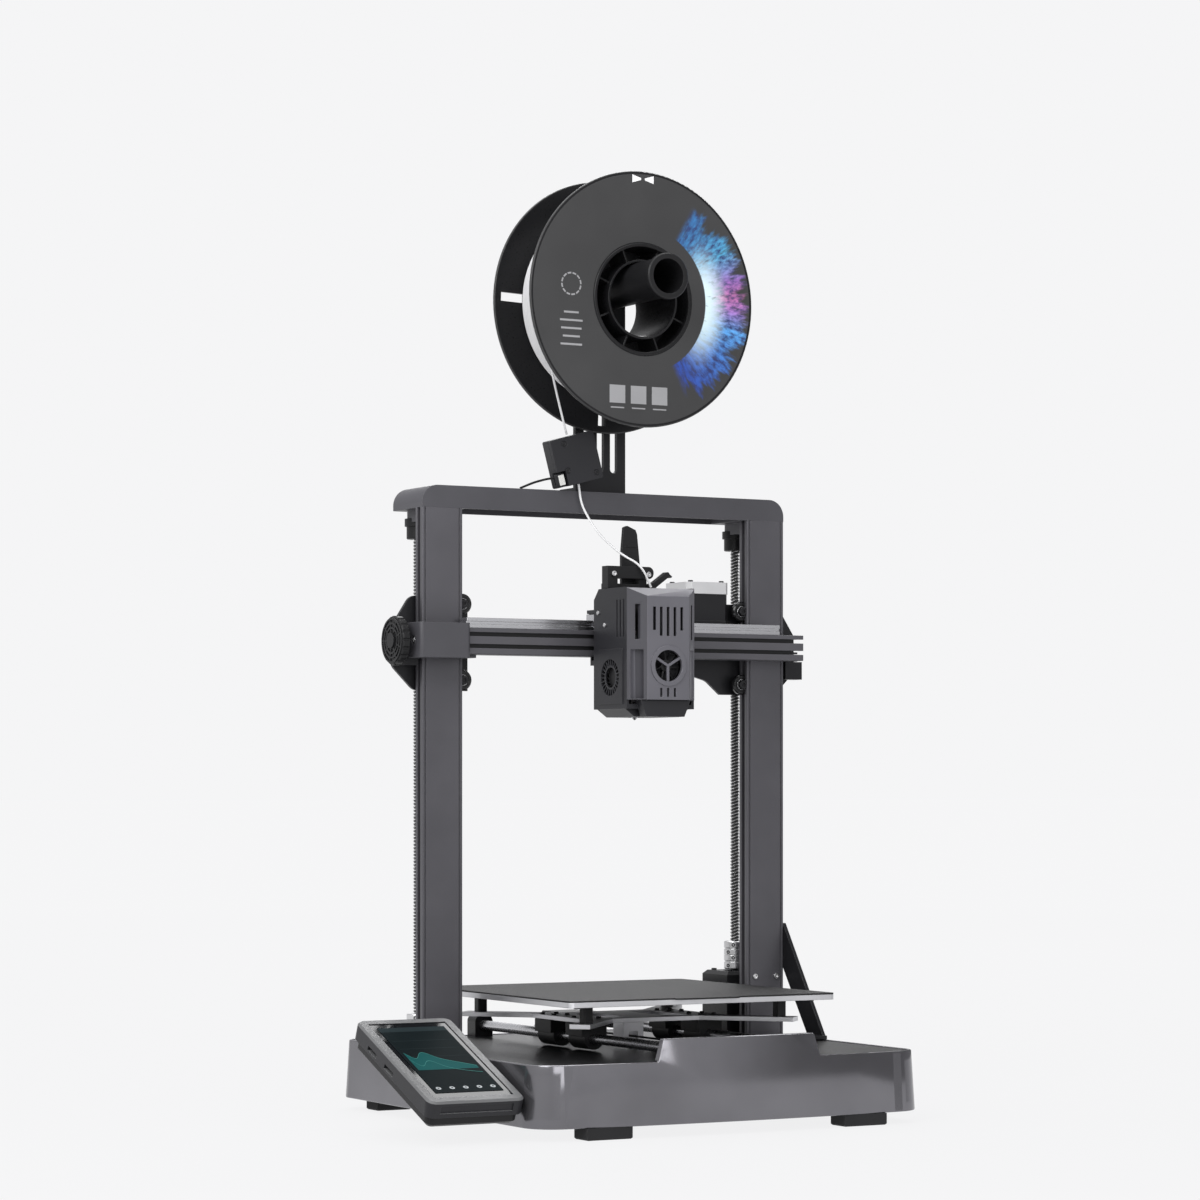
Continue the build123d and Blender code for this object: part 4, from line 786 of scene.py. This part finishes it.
# ---------------------------------------------------------------- head, feed and gantry trim
def head_trim():
    """Painted shade inside the cover: dark sheets behind its vents and a dark bowl behind its fan; and ribs
    up the cable guide.
    """
    face = span("head_cover")[0].y
    interior_shade = interior_shade_finish()
    low, high = span("front_fan")
    middle = point((low.x + high.x) / 2, high.y + 0.6, (low.z + high.z) / 2)
    bowl = [(0.01, 0), (4, 0.3), (12.6, 0.3), (13.4, -1.2), (13.4, 1.6), (4, 1.4), (0.01, 1.6)]
    # Painted shade: a dark bowl behind the fan and dark sheets behind the vents, where only shade shows.
    turned("fan_shade_bowl", bowl, middle, (0, 1, 0), "head", "black_plastic", interior_shade)
    slab("vent_shade_sheet", (-17, face + 5.5, 369), (17, face + 7.0, 402), "head", "black_plastic", interior_shade)
    slab("fan_shade_sheet", (-18, high.y + 3, 336), (18, high.y + 4, 368), "head", "black_plastic", interior_shade)
    slab("lower_shade_sheet", (-14, face + 4.5, 326.5), (14, face + 5.5, 336), "head", "black_plastic", interior_shade)
    blade = span("cable_guide")
    for k in range(4):
        level = 418 + 9.5 * k
        slab("guide_rib_" + str(k), (blade[0].x + 2.6, blade[0].y - 0.5, level),
             (blade[1].x - 3.4, blade[0].y + 0.3, level + 1.1), "head", "black_plastic", edge=0.2)


def sensor_trim():
    """Three lid screws in their recesses, and the pale plug of the sensor's cable."""
    centre = Vector(SENSOR_MIDDLE)
    cosine, sine = math.cos(SENSOR_TILT), math.sin(SENSOR_TILT)

    def place(across, out, up):
        return point(centre.x + across * cosine + up * sine, centre.y + out,
                     centre.z - across * sine + up * cosine)
    for k, (across, up) in enumerate(((-8, 14), (15, -14), (-10, -7))):
        socket_screw("sensor_screw_" + str(k), place(across, -6.2, up), (0, -1, 0), 2.2, "frame", height=0.5)
    white = own_finish("plug_nylon", color=(0.6, 0.6, 0.58), roughness=0.45)
    slab("sensor_plug", (-19.4, -6.3, -17.2), (-14.6, -5.0, -9.0), "frame", "light_plastic", white,
         turn=place)


def motor_trim():
    """Connector on the side of the head's drive motor."""
    low, high = span("x_motor")
    shell = own_finish("connector_nylon", color=(0.35, 0.35, 0.34), roughness=0.5)
    slab("motor_socket", (low.x - 2.4, low.y + 12, high.z - 15), (low.x + 1.5, low.y + 24, high.z - 9.5),
         "gantry", "black_plastic", shell)


def tensioner_trim():
    """Raised rings and grip ribs on the outer face of the tensioning wheel."""
    low, high = span("tensioner_knob")
    centre = point(low.x + 2, (low.y + high.y) / 2, (low.z + high.z) / 2)
    for k, radius in enumerate((9.0, 12.5, 16.0)):
        ring = [(radius, 0), (radius, 0.9), (radius + 1.4, 0.9), (radius + 1.4, 0), (radius, 0)]
        turned("knob_ring_" + str(k), ring, centre, (-1, 0, 0), "tensioner_knob", "black_plastic", steps=48)
    for k in range(9):
        a = math.tau * k / 9
        side = Vector((0, math.cos(a), math.sin(a)))
        across = Vector((0, -math.sin(a), math.cos(a)))
        verts = []
        for depth in (0.2, -0.8):
            for reach in (6.5, 17.0):
                for half in (-0.5, 0.5):
                    verts.append(centre + (side * reach + across * half + Vector((depth, 0, 0))) * MM)
        piece("knob_rib_" + str(k), verts, BOX_FACES, "tensioner_knob", "black_plastic")


def plate_ribs():
    """Stiffening fins on the outer edge of both end plates."""
    for side, name in ((-1, "left"), (1, "right")):
        outer = span(name + "_end_plate")[0 if side < 0 else 1].x
        for k in range(5):
            level = 355 + 6 * k
            xs = sorted((outer - side * 7, outer - side * 0.4))
            slab(name + "_plate_fin_" + str(k), (xs[0], 8.0, level), (xs[1], 14.4, level + 1.6), "gantry",
                 "black_anodised", edge=0.2)


def rear_vents():
    """Louvres across the base's rear wall."""
    wall = span("base_shell")[1].y
    for k in range(9):
        x = -118 + 12 * k
        slab("rear_louvre_" + str(k), (x, wall - 2.4, 22), (x + 5, wall - 0.9, 42), "frame", "black_plastic",
             edge=0.4)


# ---------------------------------------------------------------- screws
def screws():
    """Visible fasteners, each on the body that it holds."""
    groups = [
        ("upright_foot", [(x, 0, 104) for x in (137.5, 157.5)], (0, -1, 0), 2.2, "frame"),
        ("head_side", [(-30.3, -38.8, 394), (-30.3, -49.1, 384.1)], (-1, 0, 0), 1.7, "head"),
        ("bar", [(-23, -50, 424.5), (8, -50, 424.5)], (0, -1, 0), 2.1, "head"),
        ("beam_cover_side", [(-176.9, -12, 371)], (-1, 0, 0), 2.6, "gantry"),
        ("motor_cap", [(94.5 + dx, 20.5 + dy, 423.5) for dx in (-14.5, 14.5) for dy in (-14.5, 14.5)],
         (0, 0, 1), 2.0, "gantry"),
        ("right_plate", [(58, 14.5, 356), (58, 14.5, 380), (122, 14.5, 372), (156, 14.5, 372),
                         (176, 14.5, 366)], (0, -1, 0), 2.6, "gantry"),
        ("left_plate", [(-122, 14.5, 372), (-156, 14.5, 372)], (0, -1, 0), 2.6, "gantry"),
        ("plate_back", [(s * x, 17.5, z) for s in (-1, 1) for x in (127, 158) for z in (341.2, 400.5)],
         (0, 1, 0), 2.6, "gantry"),
        ("tower_top", [(146 + dx, 45 + dy, 107) for dx in (-12.5, 12.5) for dy in (-12.5, 12.5)],
         (0, 0, 1), 2.2, "frame"),
        ("deck_motor", [(-146 + dx, 45 + dy, 54.6) for dx in (-13, 13) for dy in (-13, 13)],
         (0, 0, 1), 2.2, "frame"),
        ("bracket_foot", [(-13, 27, 496), (13, 27, 496)], (0, 0, 1), 2.8, "frame"),
        ("rail", [(x, -12, 385.2) for x in range(-123, 140, 25)], (0, 0, 1), 2.3, "gantry"),
        ("bed_corner", [(s * 103.5, -32.5 + t * 103.5, 93.4) for s in (-1, 1) for t in (-1, 1)],
         (0, 0, -1), 2.6, "bed"),
        ("carriage", [(s * x, -32.5 + y, 79.5) for s in (-1, 1) for x in (46, 58)
                      for y in (-34, -16, 16, 34)], (0, 0, 1), 1.9, "bed"),
        ("brace", [(167.8, 4, 139)], (1, 0, 0), 2.2, "frame"),
        ("cover_back", [(x, 54, 484) for x in (-120, -40, 40, 120)], (0, 1, 0), 1.9, "frame"),
    ]
    for name, places, axis, radius, body in groups:
        for k, spot in enumerate(places):
            slot = "screw_steel" if name in STEEL_SCREWS else "black_anodised"
            socket_screw("screw_" + name + "_" + str(k), point(*spot), axis, radius, body, slot=slot,
                         height=min(1.4, radius * 0.7))


# ---------------------------------------------------------------- everything together
def build_pieces():
    for side in ("left", "right"):
        lead_screw(side)
        for level in ("lower", "upper"):
            wheel_trim(side, level)
    winding()
    spool_trim()
    display()
    screen_ports()
    head_trim()
    sensor_trim()
    spool_marks()
    cap_bearings()
    motor_trim()
    tensioner_trim()
    plate_ribs()
    rear_vents()
    screws()


bpy.context.scene.view_settings.view_transform = "Standard"
make_studio()
dress_nodes()
build_pieces()
